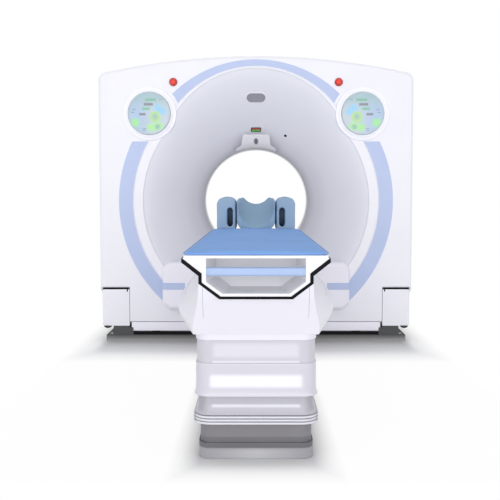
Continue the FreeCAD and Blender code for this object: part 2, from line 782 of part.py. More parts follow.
def laser_housing(funnel_air):
    """A wedge under the funnel's roof that carries the positioning light."""
    profile = [(-THROAT_HALF, LASER_LOW), (-LASER_FRONT_LOW, LASER_LOW),
               (-LASER_FRONT_HIGH, LASER_HIGH), (-THROAT_HALF, LASER_HIGH)]
    flanks = both_ways([(LASER_TOP_HALF, LASER_HIGH), (LASER_HALF, LASER_LOW)])
    block = prism_x(profile, -LASER_HALF, LASER_HALF)
    block = block.common(prism_y(flanks, -GANTRY_FRONT, 0))
    block = rounded(block, LASER_ROUND, lambda edge: spans(edge, "x") < LASER_HALF
                    and spans(edge, "z") > 1 and edge.BoundBox.YMax < -THROAT_HALF - 1)
    middle_y = -(LASER_FRONT_LOW + LASER_FRONT_HIGH) / 2
    middle_z = (LASER_LOW + LASER_HIGH) / 2
    slot = box(-LASER_SLOT_X, LASER_SLOT_X, middle_y - WALL, middle_y + LASER_SLOT_DEEP,
               middle_z - LASER_SLOT_Z, middle_z + LASER_SLOT_Z)
    return block.common(funnel_air).cut(slot)


# ---- tilting frame and rotor ---------------------------------------------------------
def tilt_frame():
    """The upright plate that fills the covers, with the two arms of the tilt axis."""
    side = GANTRY_WIDTH
    plate = tilting_form(WALL + FIT).common(box(-FRAME_HALF, FRAME_HALF, FRAME_FRONT, FRAME_REAR,
                                                -side, side))
    plate = plate.cut(rod_y(FRAME_BORE, FRAME_FRONT, FRAME_REAR))
    cheek = box(CHEEK_INNER, FRAME_HALF, -CHEEK_FRONT, FRAME_REAR, -CHEEK_HALF, CHEEK_HALF)
    stub = rod_x(TRUNNION_RADIUS, FRAME_HALF, TRUNNION_END)
    arm = cheek.fuse(stub)
    frame = joined([plate, arm, mirrored(arm), brush_block()])
    return frame.cut(rod_y(PULLEY_SHAFT + SHAFT_GAP, FRAME_FRONT, FRAME_REAR,
                           PULLEY_X, PULLEY_Z))


def rotor_drum():
    disc = ring_y(DRUM_RADIUS, DRUM_BORE, DRUM_FRONT, DRUM_REAR)
    for step in range(DRUM_HOLES):
        turn = 2 * math.pi * step / DRUM_HOLES
        disc = disc.cut(rod_y(DRUM_HOLE, DRUM_FRONT, DRUM_REAR,
                              DRUM_HOLE_CIRCLE * math.cos(turn),
                              DRUM_HOLE_CIRCLE * math.sin(turn)))
    return disc


def turned(shape, degrees):
    """Turn a rotor piece about the bore's axis."""
    copy = shape.copy()
    copy.rotate(V(0, 0, 0), V(0, 1, 0), degrees)
    return copy


def xray_tube():
    """Tube housing with its port and the collimator below it."""
    housing = rod_y(TUBE_RADIUS, -TUBE_FRONT, DRUM_FRONT, 0, TUBE_CENTRE)
    housing = housing.makeChamfer(TUBE_CHAMFER, [edge for edge in housing.Edges
                                                 if lies_at_y(edge, -TUBE_FRONT)])
    port = box(-PORT_HALF, PORT_HALF, -PORT_HALF, PORT_HALF, COLLIMATOR_HIGH, TUBE_CENTRE)
    return joined([housing, port, collimator()])


def collimator():
    outline = both_ways([(COLLIMATOR_TOP_HALF, COLLIMATOR_HIGH),
                         (COLLIMATOR_HALF, COLLIMATOR_LOW)])
    return prism_y(outline, -COLLIMATOR_FRONT, DRUM_FRONT)


def detector():
    arc = ring_y(DETECTOR_OUTER, DETECTOR_INNER, -DETECTOR_HALF, DRUM_FRONT)
    reach = DETECTOR_OUTER * 2
    slant = reach * math.tan(math.radians(DETECTOR_ANGLE))
    wedge = prism_y([(0, 0), (slant, -reach), (-slant, -reach)], -DETECTOR_HALF, DRUM_FRONT)
    return arc.common(wedge)


def rotor_box(angle):
    """One of the two boxes on the drum, turned to its place."""
    body = box(-UNIT_HALF, UNIT_HALF, DRUM_FRONT - UNIT_DEEP, DRUM_FRONT, UNIT_LOW, UNIT_HIGH)
    body = rounded(body, UNIT_ROUND, lambda edge: runs_along(edge, "z")
                   and edge.BoundBox.YMin < DRUM_FRONT - 1)
    return turned(body, angle)


def brush_block():
    body = box(-BRUSH_HALF, BRUSH_HALF, BRUSH_FRONT, FRAME_FRONT, SLIP_INNER, BRUSH_OUTER)
    return turned(body, BRUSH_TURN)


def belt_loop(drum_radius, pulley_radius, y0, y1):
    """Outline of the belt's loop over the rotor and the pulley, as a solid slab."""
    span = math.hypot(PULLEY_X, PULLEY_Z)
    towards = math.atan2(PULLEY_Z, PULLEY_X)
    lean = math.acos((drum_radius - pulley_radius) / span)

    def touch(radius, x, z, side):
        angle = towards + side * lean
        return V(x + radius * math.cos(angle), y0, z + radius * math.sin(angle))

    big_a, big_b = touch(drum_radius, 0, 0, 1), touch(drum_radius, 0, 0, -1)
    small_a = touch(pulley_radius, PULLEY_X, PULLEY_Z, 1)
    small_b = touch(pulley_radius, PULLEY_X, PULLEY_Z, -1)
    far = V(-drum_radius * math.cos(towards), y0, -drum_radius * math.sin(towards))
    near = V(PULLEY_X + pulley_radius * math.cos(towards), y0,
             PULLEY_Z + pulley_radius * math.sin(towards))
    edges = [
        Part.Arc(big_a, far, big_b).toShape(),
        Part.makeLine(big_b, small_b),
        Part.Arc(small_b, near, small_a).toShape(),
        Part.makeLine(small_a, big_a),
    ]
    return Part.Face(Part.Wire(edges)).extrude(V(0, y1 - y0, 0))


def drive_belt():
    inner = belt_loop(DRUM_RADIUS + FIT, PULLEY_RADIUS + FIT, BELT_FRONT, BELT_REAR)
    outer = belt_loop(DRUM_RADIUS + FIT + BELT_THICK, PULLEY_RADIUS + FIT + BELT_THICK,
                      BELT_FRONT, BELT_REAR)
    return outer.cut(inner)


def drive_pulley():
    wheel = rod_y(PULLEY_RADIUS, BELT_FRONT - 2, BELT_REAR + 2, PULLEY_X, PULLEY_Z)
    shaft = rod_y(PULLEY_SHAFT, BELT_REAR, FRAME_REAR - 1, PULLEY_X, PULLEY_Z)
    return wheel.fuse(shaft)


def drive_motor():
    end = FRAME_REAR + MOTOR_LENGTH
    body = rod_y(MOTOR_RADIUS, FRAME_REAR, end, PULLEY_X, PULLEY_Z)
    return body.makeChamfer(MOTOR_CHAMFER, [edge for edge in body.Edges if lies_at_y(edge, end)])


# ---- tilt drive ----------------------------------------------------------------------
def tooth_half_angle(teeth, radius, thinning):
    """Half the angle that an involute tooth takes at a radius."""
    pitch = GEAR_MODULE * teeth / 2
    base = pitch * math.cos(math.radians(PRESSURE_ANGLE))

    def involute(at):
        angle = math.acos(min(1.0, base / at))
        return math.tan(angle) - angle

    at_pitch = math.pi / (2 * teeth) - thinning / (2 * pitch)
    return at_pitch + involute(pitch) - involute(max(radius, base))


def gear_points(teeth, first, last, middle_turn):
    """Outline points of teeth numbered first to last, about the gear's own centre."""
    pitch = GEAR_MODULE * teeth / 2
    root = pitch - 1.3 * GEAR_MODULE
    tip = pitch + GEAR_MODULE
    radii = [root, pitch - 0.4 * GEAR_MODULE, pitch + 0.3 * GEAR_MODULE, tip]
    points = []
    for number in range(first, last + 1):
        turn = middle_turn + 2 * math.pi * number / teeth
        rising = [(radius, turn - tooth_half_angle(teeth, radius, BACKLASH)) for radius in radii]
        falling = [(radius, turn + tooth_half_angle(teeth, radius, BACKLASH))
                   for radius in reversed(radii)]
        points += rising + falling
    return [(radius * math.cos(angle), radius * math.sin(angle)) for radius, angle in points]


def tilt_sector():
    down = -math.pi / 2
    count = int(SECTOR_SPAN / 360 * SECTOR_TEETH)
    outer = gear_points(SECTOR_TEETH, -count, count, down)
    turn = 2 * math.pi * (count + 0.5) / SECTOR_TEETH
    inner = [(SECTOR_INNER * math.cos(down + side * turn), SECTOR_INNER * math.sin(down + side * turn))
             for side in (1, 0.5, 0, -0.5, -1)]
    rim = prism_x(outer + inner, GEAR_FRONT, GEAR_BACK)
    hub = rod_x(TRUNNION_RADIUS * 1.6, GEAR_FRONT, GEAR_BACK)
    web = prism_x([(-60, 0), (60, 0), (105, -SECTOR_INNER - 3), (-105, -SECTOR_INNER - 3)],
                  GEAR_FRONT, GEAR_BACK)
    arc = joined([rim, hub, web])
    return arc.cut(rod_x(TRUNNION_RADIUS, GEAR_FRONT, GEAR_BACK))


def pinion_drop():
    return GEAR_MODULE * (SECTOR_TEETH + PINION_TEETH) / 2


def tilt_pinion():
    up = math.pi / 2
    half_tooth = math.pi / PINION_TEETH
    teeth = gear_points(PINION_TEETH, 0, PINION_TEETH - 1, up + half_tooth)
    wheel = prism_x(teeth, GEAR_FRONT, GEAR_BACK)
    shaft = rod_x(PINION_SHAFT, GEAR_BACK, STAND_OUTER - 1)
    return wheel.fuse(shaft).translated(V(0, 0, -pinion_drop()))


def tilt_gearmotor():
    body = rod_x(TILT_MOTOR_RADIUS, STAND_OUTER, TILT_MOTOR_END, 0, -pinion_drop())
    return body.makeChamfer(6, [edge for edge in body.Edges
                                if abs(edge.BoundBox.XMin - TILT_MOTOR_END) < NEGLIGIBLE])


# ---- floor frame and stands ----------------------------------------------------------
def gantry_base():
    skid = box(SKID_INNER, BASE_HALF, -BEAM_FRONT, BEAM_REAR, 0, BASE_HIGH)
    front_beam = box(-BASE_HALF, BASE_HALF, -BEAM_FRONT, -BEAM_FRONT + BEAM_WIDE, 0, BASE_HIGH)
    rear_beam = box(-BASE_HALF, BASE_HALF, BEAM_REAR - BEAM_WIDE, BEAM_REAR, 0, BASE_HIGH)
    frame = joined([skid, mirrored(skid), front_beam, rear_beam, cable_inlet()] + foot_blocks())
    for x in (-ANCHOR_X, ANCHOR_X):
        for y in (-ANCHOR_Y, ANCHOR_Y):
            frame = frame.cut(rod_z(ANCHOR_RADIUS, 0, BASE_HIGH, x, y))
    return frame


def tilt_stand(with_motor):
    foot = box(STAND_FOOT_INNER, STAND_FOOT_OUTER, -STAND_FOOT_HALF, STAND_FOOT_HALF,
               BASE_HIGH, STAND_FOOT_HIGH)
    profile = [(-STAND_ROOT_HALF, STAND_FOOT_HIGH), (STAND_ROOT_HALF, STAND_FOOT_HIGH),
               (STAND_HALF, STAND_ROOT_HIGH), (STAND_HALF, ISO_HEIGHT),
               (-STAND_HALF, ISO_HEIGHT), (-STAND_HALF, STAND_ROOT_HIGH)]
    upright = prism_x(profile, STAND_INNER, STAND_OUTER)
    housing = rod_x(HOUSING_RADIUS, STAND_INNER, STAND_OUTER, 0, ISO_HEIGHT)
    stand = joined([foot, upright, housing])
    stand = stand.cut(rod_x(BEARING_RADIUS, STAND_INNER, STAND_OUTER, 0, ISO_HEIGHT))
    if with_motor:
        stand = stand.cut(rod_x(PINION_SHAFT + SHAFT_GAP, STAND_INNER, STAND_OUTER, 0,
                                ISO_HEIGHT - pinion_drop()))
    return stand


def trunnion_bearing():
    race_in = STAND_INNER + BEARING_INSET
    race_out = STAND_OUTER - BEARING_INSET
    ring = rod_x(BEARING_RADIUS, race_in, race_out, 0, ISO_HEIGHT)
    return ring.cut(rod_x(TRUNNION_RADIUS + SHAFT_GAP, race_in, race_out, 0, ISO_HEIGHT))


def stand_cover_form(inset, low):
    inner = STAND_COVER_INNER + inset
    outer = STAND_COVER_OUTER - inset
    front = -GANTRY_FRONT + inset
    rear = GANTRY_REAR - inset
    form = box(inner, outer, front, rear, low, ISO_HEIGHT - FRONT_SEAM)
    form = rounded(form, STAND_COVER_ROUND - inset,
                   lambda edge: runs_along(edge, "z") and edge.BoundBox.XMin > inner + 1)
    return form.cut(rod_x(STAND_COVER_RADIUS + inset, inner, outer, 0, ISO_HEIGHT))


def stand_cover():
    wall = STAND_COVER_WALL
    cover = stand_cover_form(0, STAND_COVER_LOW).cut(stand_cover_form(wall, STAND_COVER_LOW - wall))
    gap = STAND_SLOT_GAP
    slot = box(STAND_INNER - gap, STAND_OUTER + gap, -STAND_HALF - gap, STAND_HALF + gap,
               STAND_FOOT_HIGH + wall, ISO_HEIGHT)
    return cover.cut(slot)


def foot_block(front, rear):
    """A cast block on the base; its higher step carries the stand cover's edge."""
    low = box(BLOCK_INNER, BLOCK_OUTER, front, rear, BASE_HIGH, BLOCK_HIGH)
    step = box(LEDGE_INNER, BLOCK_OUTER, front, rear, BLOCK_HIGH, STAND_COVER_LOW)
    block = joined([low, step])
    return rounded(block, BLOCK_ROUND, lambda edge: runs_along(edge, "z")
                   and edge.BoundBox.XMin > BLOCK_OUTER - 1)


def foot_blocks():
    front = -GANTRY_FRONT + LEDGE_REACH
    rear = GANTRY_REAR - LEDGE_REACH
    blocks = [foot_block(front, front + BLOCK_DEEP), foot_block(rear - BLOCK_DEEP, rear)]
    return blocks + [mirrored(block) for block in blocks]


# ---- fans ----------------------------------------------------------------------------
def fan_wheel():
    rear = GANTRY_REAR - WALL - FAN_SET_BACK
    middle = rear - FAN_DEEP / 2
    hub = rod_y(FAN_HUB, rear - FAN_DEEP, rear)
    hub = hub.makeChamfer(FAN_SET_BACK, [edge for edge in hub.Edges if lies_at_y(edge, rear)])
    parts = [hub]
    for number in range(FAN_BLADES):
        blade = box(FAN_HUB - WALL, FAN_RADIUS, middle - FAN_BLADE_THICK / 2,
                    middle + FAN_BLADE_THICK / 2, -FAN_BLADE_HALF, FAN_BLADE_HALF)
        blade.rotate(V(0, middle, 0), V(1, 0, 0), FAN_BLADE_TWIST)
        blade.rotate(V(0, middle, 0), V(0, 1, 0), 360 / FAN_BLADES * number)
        parts.append(blade)
    wheel = joined(parts).cut(rod_y(FAN_SHAFT + SHAFT_GAP, rear - FAN_DEEP, middle))
    return wheel.translated(V(0, 0, FAN_Z))


def fan_frame():
    """The fan's square housing with its strut, motor and shaft."""
    rear = GANTRY_REAR - WALL
    front = rear - FAN_FRAME_DEEP
    motor_end = rear - FAN_SET_BACK - FAN_DEEP - FIT
    frame = box(-FAN_FRAME, FAN_FRAME, front, rear, -FAN_FRAME, FAN_FRAME)
    frame = frame.cut(rod_y(FAN_BORE, front, rear))
    strut = box(-FAN_FRAME, FAN_FRAME, front - FAN_STRUT, front, -FAN_STRUT_HALF, FAN_STRUT_HALF)
    motor = rod_y(FAN_MOTOR, front - FAN_STRUT, motor_end)
    shaft = rod_y(FAN_SHAFT, motor_end, motor_end + FAN_DEEP / 2 - FIT)
    return joined([frame, strut, motor, shaft]).translated(V(0, 0, FAN_Z))


def fan_grille():
    """Round guard of rings and bars, as thick as the cover."""
    front = GANTRY_REAR - WALL
    step = (GRILLE_RADIUS - GRILLE_BAR) / GRILLE_RINGS
    pieces = []
    for number in range(1, GRILLE_RINGS + 1):
        radius = step * number
        pieces.append(ring_y(radius + GRILLE_BAR, radius - GRILLE_BAR, front, GANTRY_REAR))
    reach = GRILLE_RADIUS - GRILLE_BAR
    for number in range(GRILLE_BARS):
        bar = box(-reach, reach, front, GANTRY_REAR, -GRILLE_BAR, GRILLE_BAR)
        pieces.append(turned(bar, 180 / GRILLE_BARS * number))
    return joined(pieces).translated(V(0, 0, FAN_Z))


# ---- pedestal of the couch -----------------------------------------------------------
def plan(half, front, rear, corner, z):
    """A rounded rectangle seen from above, symmetric about the machine's middle."""
    slack = corner * (1 - math.sqrt(0.5))
    y_front, y_rear = -front, -rear
    edges = [
        Part.makeLine(V(-half + corner, y_front, z), V(half - corner, y_front, z)),
        Part.Arc(V(half - corner, y_front, z), V(half - slack, y_front + slack, z),
                 V(half, y_front + corner, z)).toShape(),
        Part.makeLine(V(half, y_front + corner, z), V(half, y_rear - corner, z)),
        Part.Arc(V(half, y_rear - corner, z), V(half - slack, y_rear - slack, z),
                 V(half - corner, y_rear, z)).toShape(),
        Part.makeLine(V(half - corner, y_rear, z), V(-half + corner, y_rear, z)),
        Part.Arc(V(-half + corner, y_rear, z), V(-half + slack, y_rear - slack, z),
                 V(-half, y_rear - corner, z)).toShape(),
        Part.makeLine(V(-half, y_rear - corner, z), V(-half, y_front + corner, z)),
        Part.Arc(V(-half, y_front + corner, z), V(-half + slack, y_front + slack, z),
                 V(-half + corner, y_front, z)).toShape(),
    ]
    return Part.Wire(edges)


def block_z(half, front, rear, corner, z0, z1):
    """An upright block with rounded corners."""
    return Part.Face(plan(half, front, rear, corner, z0)).extrude(V(0, 0, z1 - z0))


def sleeve_front(half):
    return COUCH_FRONT - SKIRT_HALF + half


def sleeve_plan(half, z):
    """Outline of a pedestal cover; all of them are even offsets of one outline."""
    grow = half - PEDESTAL_HALF
    return plan(half, sleeve_front(half), COUCH_REAR - grow, COVER_CORNER + grow, z)


def sleeve(half, wall, z0, z1):
    outer = Part.Face(sleeve_plan(half, z0)).extrude(V(0, 0, z1 - z0))
    return outer.cut(Part.Face(sleeve_plan(half - wall, z0)).extrude(V(0, 0, z1 - z0)))


def front_panel(half, heights):
    """A shallow recess in the front of a cover."""
    face = -sleeve_front(half)
    low, high = heights
    return box(-PANEL_HALF, PANEL_HALF, face - 1, face + PANEL_DEEP, low, high)


def couch_base():
    """Two-step plinth with the fixed tube of the lifting column standing in its well."""
    front = sleeve_front(COUCH_BASE_HALF)
    step = COUCH_BASE_STEP
    well_floor = COUCH_BASE_LOW_HIGH / 2
    low = block_z(COUCH_BASE_HALF, front, COUCH_REAR - COUCH_BASE_BACK, COVER_CORNER, 0,
                  COUCH_BASE_LOW_HIGH)
    high = block_z(COUCH_BASE_HALF - step, front - step, COUCH_REAR, COVER_CORNER,
                   COUCH_BASE_LOW_HIGH, COUCH_BASE_HIGH)
    well = block_z(PEDESTAL_HALF - COVER_CORNER, front - COVER_CORNER,
                   COUCH_REAR + COVER_CORNER, COVER_CORNER / 2, well_floor, COUCH_BASE_HIGH)
    base = joined([joined([low, high]).cut(well), column_tube(0, well_floor, OUTER_COLUMN_TOP)])
    middle = (COUCH_FRONT + COUCH_REAR) / 2
    for x in (-COUCH_ANCHOR_X, COUCH_ANCHOR_X):
        for y in (-COUCH_ANCHOR_Y / 2, COUCH_ANCHOR_Y / 2):
            base = base.cut(rod_z(COUCH_ANCHOR_RADIUS, 0, COUCH_BASE_HIGH, x, y - middle))
    return base


def pedestal():
    return sleeve(PEDESTAL_HALF, COVER_WALL, COUCH_BASE_HIGH, PEDESTAL_TOP)


def lift_actuator():
    low = COUCH_BASE_LOW_HIGH / 2
    tube = rod_z(ACTUATOR_RADIUS, low, ACTUATOR_TOP, 0, -ACTUATOR_Y)
    return tube.cut(rod_z(ROD_RADIUS + FIT, low + ACTUATOR_FLOOR, ACTUATOR_TOP, 0, -ACTUATOR_Y))


def actuator_rod():
    return rod_z(ROD_RADIUS, ROD_LOW, COUCH_FRAME_TOP - FRAME_THICK, 0, -ACTUATOR_Y)


def lower_cover():
    """The lowest moving cover; it widens downwards and ends in three thin rims."""
    low = RIM_LOW + RIM_COUNT * RIM_PITCH
    flare = Part.makeLoft([sleeve_plan(FLARE_HALF, low),
                           sleeve_plan(LOWER_COVER_HALF, low + FLARE_HIGH)], True, True)
    inner = LOWER_COVER_HALF - COVER_WALL
    flare = flare.cut(Part.Face(sleeve_plan(inner, low)).extrude(V(0, 0, FLARE_HIGH)))
    pieces = [flare, sleeve(LOWER_COVER_HALF, COVER_WALL, low + FLARE_HIGH, LOWER_COVER_TOP)]
    wall = RIM_HALF - PEDESTAL_HALF - COVER_GAP
    neck_wall = LOWER_COVER_HALF - PEDESTAL_HALF - COVER_GAP
    for number in range(RIM_COUNT):
        rim_low = RIM_LOW + number * RIM_PITCH
        pieces.append(sleeve(RIM_HALF, wall, rim_low, rim_low + RIM_THICK))
        pieces.append(sleeve(LOWER_COVER_HALF, neck_wall, rim_low + RIM_THICK,
                             rim_low + RIM_PITCH))
    return joined(pieces)


def middle_cover():
    body = sleeve(SKIRT_HALF, COVER_WALL, MIDDLE_COVER_LOW, MIDDLE_COVER_TOP)
    return body.cut(front_panel(SKIRT_HALF, MIDDLE_PANEL))


def upper_cover():
    body = sleeve(UPPER_COVER_HALF, COVER_WALL, UPPER_COVER_LOW, UPPER_COVER_TOP)
    return body.cut(front_panel(UPPER_COVER_HALF, UPPER_PANEL))


def column_tube(stage, low, high):
    """One stage of the lifting column; each slides inside the one before it."""
    shrink = stage * (COLUMN_WALL + COLUMN_GAP)

    def filled(inset):
        return box(-COLUMN_HALF + inset, COLUMN_HALF - inset, -COLUMN_FRONT + inset,
                   -COLUMN_REAR - inset, low, high)

    return filled(shrink).cut(filled(shrink + COLUMN_WALL))


# ---- couch body ----------------------------------------------------------------------
def body_ring(place, shoulder, bottom, inset):
    """One cross-section of the couch body, its shoulders rounded."""
    top = V(BODY_TOP_HALF - inset, -place, BODY_TOP - inset)
    corner = V(shoulder - inset, -place, SHOULDER_HIGH)
    foot = V(bottom - inset, -place, SKIRT_TOP + inset)
    start = corner + (top - corner).normalize() * SHOULDER_SOFT
    end = corner + (foot - corner).normalize() * SHOULDER_SOFT
    middle = (start + corner * 2 + end) * 0.25

    def over(point):
        return V(-point.x, point.y, point.z)

    edges = [Part.makeLine(over(top), top), Part.makeLine(top, start),
             Part.Arc(start, middle, end).toShape(), Part.makeLine(end, foot),
             Part.makeLine(foot, over(foot)), Part.makeLine(over(foot), over(end)),
             Part.Arc(over(end), over(middle), over(start)).toShape(),
             Part.makeLine(over(start), over(top))]
    return Part.Wire(edges)


def body_solid(inset):
    stations = list(BODY_STATIONS)
    first, last = stations[0], stations[-1]
    stations[0] = (first[0] - inset,) + first[1:]
    stations[-1] = (last[0] + inset,) + last[1:]
    rings = [body_ring(place, shoulder, bottom, inset) for place, shoulder, bottom in stations]
    rake = [(-stations[0][0], RAKE_TOP), (-RAKE_FOOT + inset, SKIRT_TOP + inset),
            (-NOSE_FRONT, SKIRT_TOP + inset), (-NOSE_FRONT, RAKE_TOP)]
    return Part.makeLoft(rings, True, False).cut(prism_x(rake, -GANTRY_WIDTH, GANTRY_WIDTH))


def channel(grow):
    """The V-shaped way that the table's tail runs in, open at the top and both ends."""
    side = TROUGH_HALF + grow
    foot = TROUGH_FOOT_HALF + grow / 2
    points = both_ways([(side, TABLE_TOP), (side, TROUGH_KNEE - grow / 2),
                        (foot, TROUGH_FOOT - grow)])
    return prism_y(points, -NOSE_FRONT - grow, -BODY_REAR + grow)


def couch_body():
    wall = BODY_WALL
    outer = body_solid(0)
    skirt = sleeve(SKIRT_HALF, COVER_WALL, BODY_BOTTOM, SKIRT_TOP + wall)
    hollow = body_solid(wall)
    lining = channel(CHANNEL_GAP + wall).common(outer)
    mouth_half = SKIRT_HALF - COVER_WALL
    mouth_corner = COVER_CORNER + mouth_half - PEDESTAL_HALF
    mouth = block_z(mouth_half, sleeve_front(mouth_half),
                    COUCH_REAR - (mouth_half - PEDESTAL_HALF), mouth_corner,
                    BODY_BOTTOM, SKIRT_TOP + 2 * wall)
    shell = joined([outer.cut(hollow), lining, skirt]).cut(channel(CHANNEL_GAP)).cut(mouth)
    bracket = roller_bracket()
    return joined([shell, bracket, mirrored(bracket)])


def roller_bracket():
    """Holds the pin of a support roller against the channel's side."""
    body = box(BRACKET_INNER, TROUGH_HALF + CHANNEL_GAP, -ROLLER_Y - BRACKET_HALF,
               -ROLLER_Y + BRACKET_HALF, ROLLER_Z - BRACKET_HALF, ROLLER_Z + BRACKET_HALF)
    return body.cut(rod_x(ROLLER_PIN + SHAFT_GAP, BRACKET_INNER, TROUGH_HALF, -ROLLER_Y, ROLLER_Z))


def support_rollers():
    """Two short rollers under the cradle where it leaves the couch body."""
    wheel = rod_x(ROLLER_RADIUS, ROLLER_INNER, ROLLER_OUTER, -ROLLER_Y, ROLLER_Z)
    wheel = wheel.makeChamfer(ROLLER_CHAMFER, [edge for edge in wheel.Edges
                                               if spans(edge, "x") < NEGLIGIBLE])
    pin = rod_x(ROLLER_PIN, ROLLER_OUTER, TROUGH_HALF - 1, -ROLLER_Y, ROLLER_Z)
    return pair(wheel.fuse(pin))


def couch_frame():
    return box(-COUCH_FRAME_HALF, COUCH_FRAME_HALF, -COUCH_FRAME_FRONT, -COUCH_FRAME_REAR,
               COUCH_FRAME_TOP - FRAME_THICK, COUCH_FRAME_TOP)


def guide_rails():
    floor = TROUGH_FOOT - CHANNEL_GAP
    rail = box(RUNNER_HALF - RAIL_WIDE / 2, RUNNER_HALF + RAIL_WIDE / 2, -RAIL_FRONT,
               -RAIL_REAR, floor, floor + RAIL_HIGH)
    return pair(rail)


# ---- table ---------------------------------------------------------------------------
def trough_points(grow):
    """Half outline of the table's tail, from its lip down to its foot."""
    return [(TABLE_HALF + grow, TABLE_TOP), (TABLE_HALF + grow, TABLE_TOP - TABLE_LIP),
            (TROUGH_HALF + grow, TROUGH_HIGH - grow), (TROUGH_HALF + grow, TROUGH_KNEE - grow / 2),
            (TROUGH_FOOT_HALF + grow / 2, TROUGH_FOOT - grow)]


def recess_ring(narrow, y):
    half = RECESS_TOP_HALF - narrow
    foot = TROUGH_FOOT_HALF - RECESS_WALL / 2 - narrow
    points = both_ways([(half, TABLE_TOP - RECESS_WALL), (half, TROUGH_KNEE + 2),
                        (foot, TROUGH_FOOT + RECESS_WALL)])
    outline = [V(x, y, z) for x, z in points]
    return Part.makePolygon(outline + outline[:1])


def recess():
    """The hand space behind the grab bar, a little narrower at its back."""
    front = recess_ring(0, -NOSE_FRONT - 1)
    return Part.makeLoft([front, recess_ring(RECESS_TAPER, -NOSE_FRONT + RECESS_DEPTH)],
                         True, True)


def table_tail():
    rear = -NOSE_FRONT + TAIL_LENGTH
    body = prism_y(both_ways(trough_points(-TRIM_THICK)), -NOSE_FRONT, rear)
    return body.cut(recess())


def edge_trim():
    band = prism_y(both_ways(trough_points(0)), -NOSE_FRONT, -NOSE_FRONT + TRIM_DEEP)
    core = prism_y(both_ways(trough_points(-TRIM_THICK)), -NOSE_FRONT, -NOSE_FRONT + TRIM_DEEP)
    lip = box(-TABLE_HALF - 1, TABLE_HALF + 1, -NOSE_FRONT, -NOSE_FRONT + TRIM_DEEP,
              TABLE_TOP - TABLE_LIP - 1, TABLE_TOP + 1)
    return band.cut(core).cut(lip)


def grab_bar():
    """A flat bar across the recess, its ends let into the recess's sides."""
    front = -NOSE_FRONT + BAR_INSET
    bar = box(-RECESS_TOP_HALF, RECESS_TOP_HALF, front, front + BAR_DEEP, BAR_LOW, BAR_HIGH)
    return rounded(bar, BAR_ROUND, lambda edge: runs_along(edge, "x")).common(recess())


def cradle():
    """The long table top, flat above and bowed below."""
    y0 = -NOSE_FRONT + TAIL_LENGTH
    half = CRADLE_HALF
    lip_z = TABLE_TOP - CRADLE_LIP
    under = Part.Arc(V(half, y0, lip_z), V(0, y0, TABLE_TOP - CRADLE_DEPTH),
                     V(-half, y0, lip_z)).toShape()
    edges = [
        under,
        Part.makeLine(V(-half, y0, lip_z), V(-half, y0, TABLE_TOP)),
        Part.makeLine(V(-half, y0, TABLE_TOP), V(half, y0, TABLE_TOP)),
        Part.makeLine(V(half, y0, TABLE_TOP), V(half, y0, lip_z)),
    ]
    return Part.Face(Part.Wire(edges)).extrude(V(0, -CRADLE_END - y0, 0))


def mattress():
    """A thin pad over the tail and the cradle, with rounded sides and a low crown."""
    y0, y1 = -NOSE_FRONT + 2, -MATTRESS_END
    half = MATTRESS_HALF
    low = TABLE_TOP + FIT
    side = low + MATTRESS_SIDE
    draw = MATTRESS_SIDE / 2
    edges = [
        Part.makeLine(V(-half + draw, y0, low), V(half - draw, y0, low)),
        Part.Arc(V(half - draw, y0, low), V(half, y0, (low + side) / 2),
                 V(half - draw, y0, side)).toShape(),
        Part.Arc(V(half - draw, y0, side), V(0, y0, MATTRESS_TOP),
                 V(-half + draw, y0, side)).toShape(),
        Part.Arc(V(-half + draw, y0, side), V(-half, y0, (low + side) / 2),
                 V(-half + draw, y0, low)).toShape(),
    ]
    return Part.Face(Part.Wire(edges)).extrude(V(0, y1 - y0, 0))


def runner_blocks():
    """Two long runners joined by a plate, their tops hollowed to seat the cradle."""
    floor = TROUGH_FOOT - CHANNEL_GAP + RAIL_HIGH + FIT
    foot = -NOSE_FRONT + TAIL_LENGTH
    head = foot + RUNNER_LENGTH
    underside = TABLE_TOP - CRADLE_DEPTH
    inner = RUNNER_HALF - RUNNER_WIDE / 2
    outer = RUNNER_HALF + RUNNER_WIDE / 2
    block = box(inner, outer, foot, head, floor, TABLE_TOP - CRADLE_LIP)
    plate = box(-inner, inner, foot, head, underside - RUNNER_PLATE, TABLE_TOP - CRADLE_LIP)
    rise = CRADLE_DEPTH - CRADLE_LIP
    radius = (CRADLE_HALF ** 2 + rise ** 2) / (2 * rise)
    seat = rod_y(radius, foot, head, 0, underside + radius)
    return joined([block, mirrored(block), plate]).cut(seat)


def head_holder():
    """A scoop for the head: its floor rises to a dished back with two soft horns."""
    low = TABLE_TOP + FIT
    body = box(-HEAD_HALF, HEAD_HALF, -HEAD_FRONT, -HEAD_REAR, low, HEAD_TOP)
    body = rounded(body, HEAD_ROUND, lambda edge: runs_along(edge, "y")
                   and edge.BoundBox.ZMin > low + 1)
    body = rounded(body, HEAD_FOOT_ROUND, lambda edge: runs_along(edge, "y")
                   and edge.BoundBox.ZMax < low + 1)
    length = HEAD_FRONT - HEAD_REAR
    rise = SCOOP_REAR_HIGH - SCOOP_FRONT_HIGH
    start = V(0, -HEAD_FRONT - length, SCOOP_FRONT_HIGH - rise)
    scoop = Part.makeCylinder(SCOOP_RADIUS, 3 * math.hypot(length, rise), start,
                              V(0, length, rise))
    return body.cut(scoop)


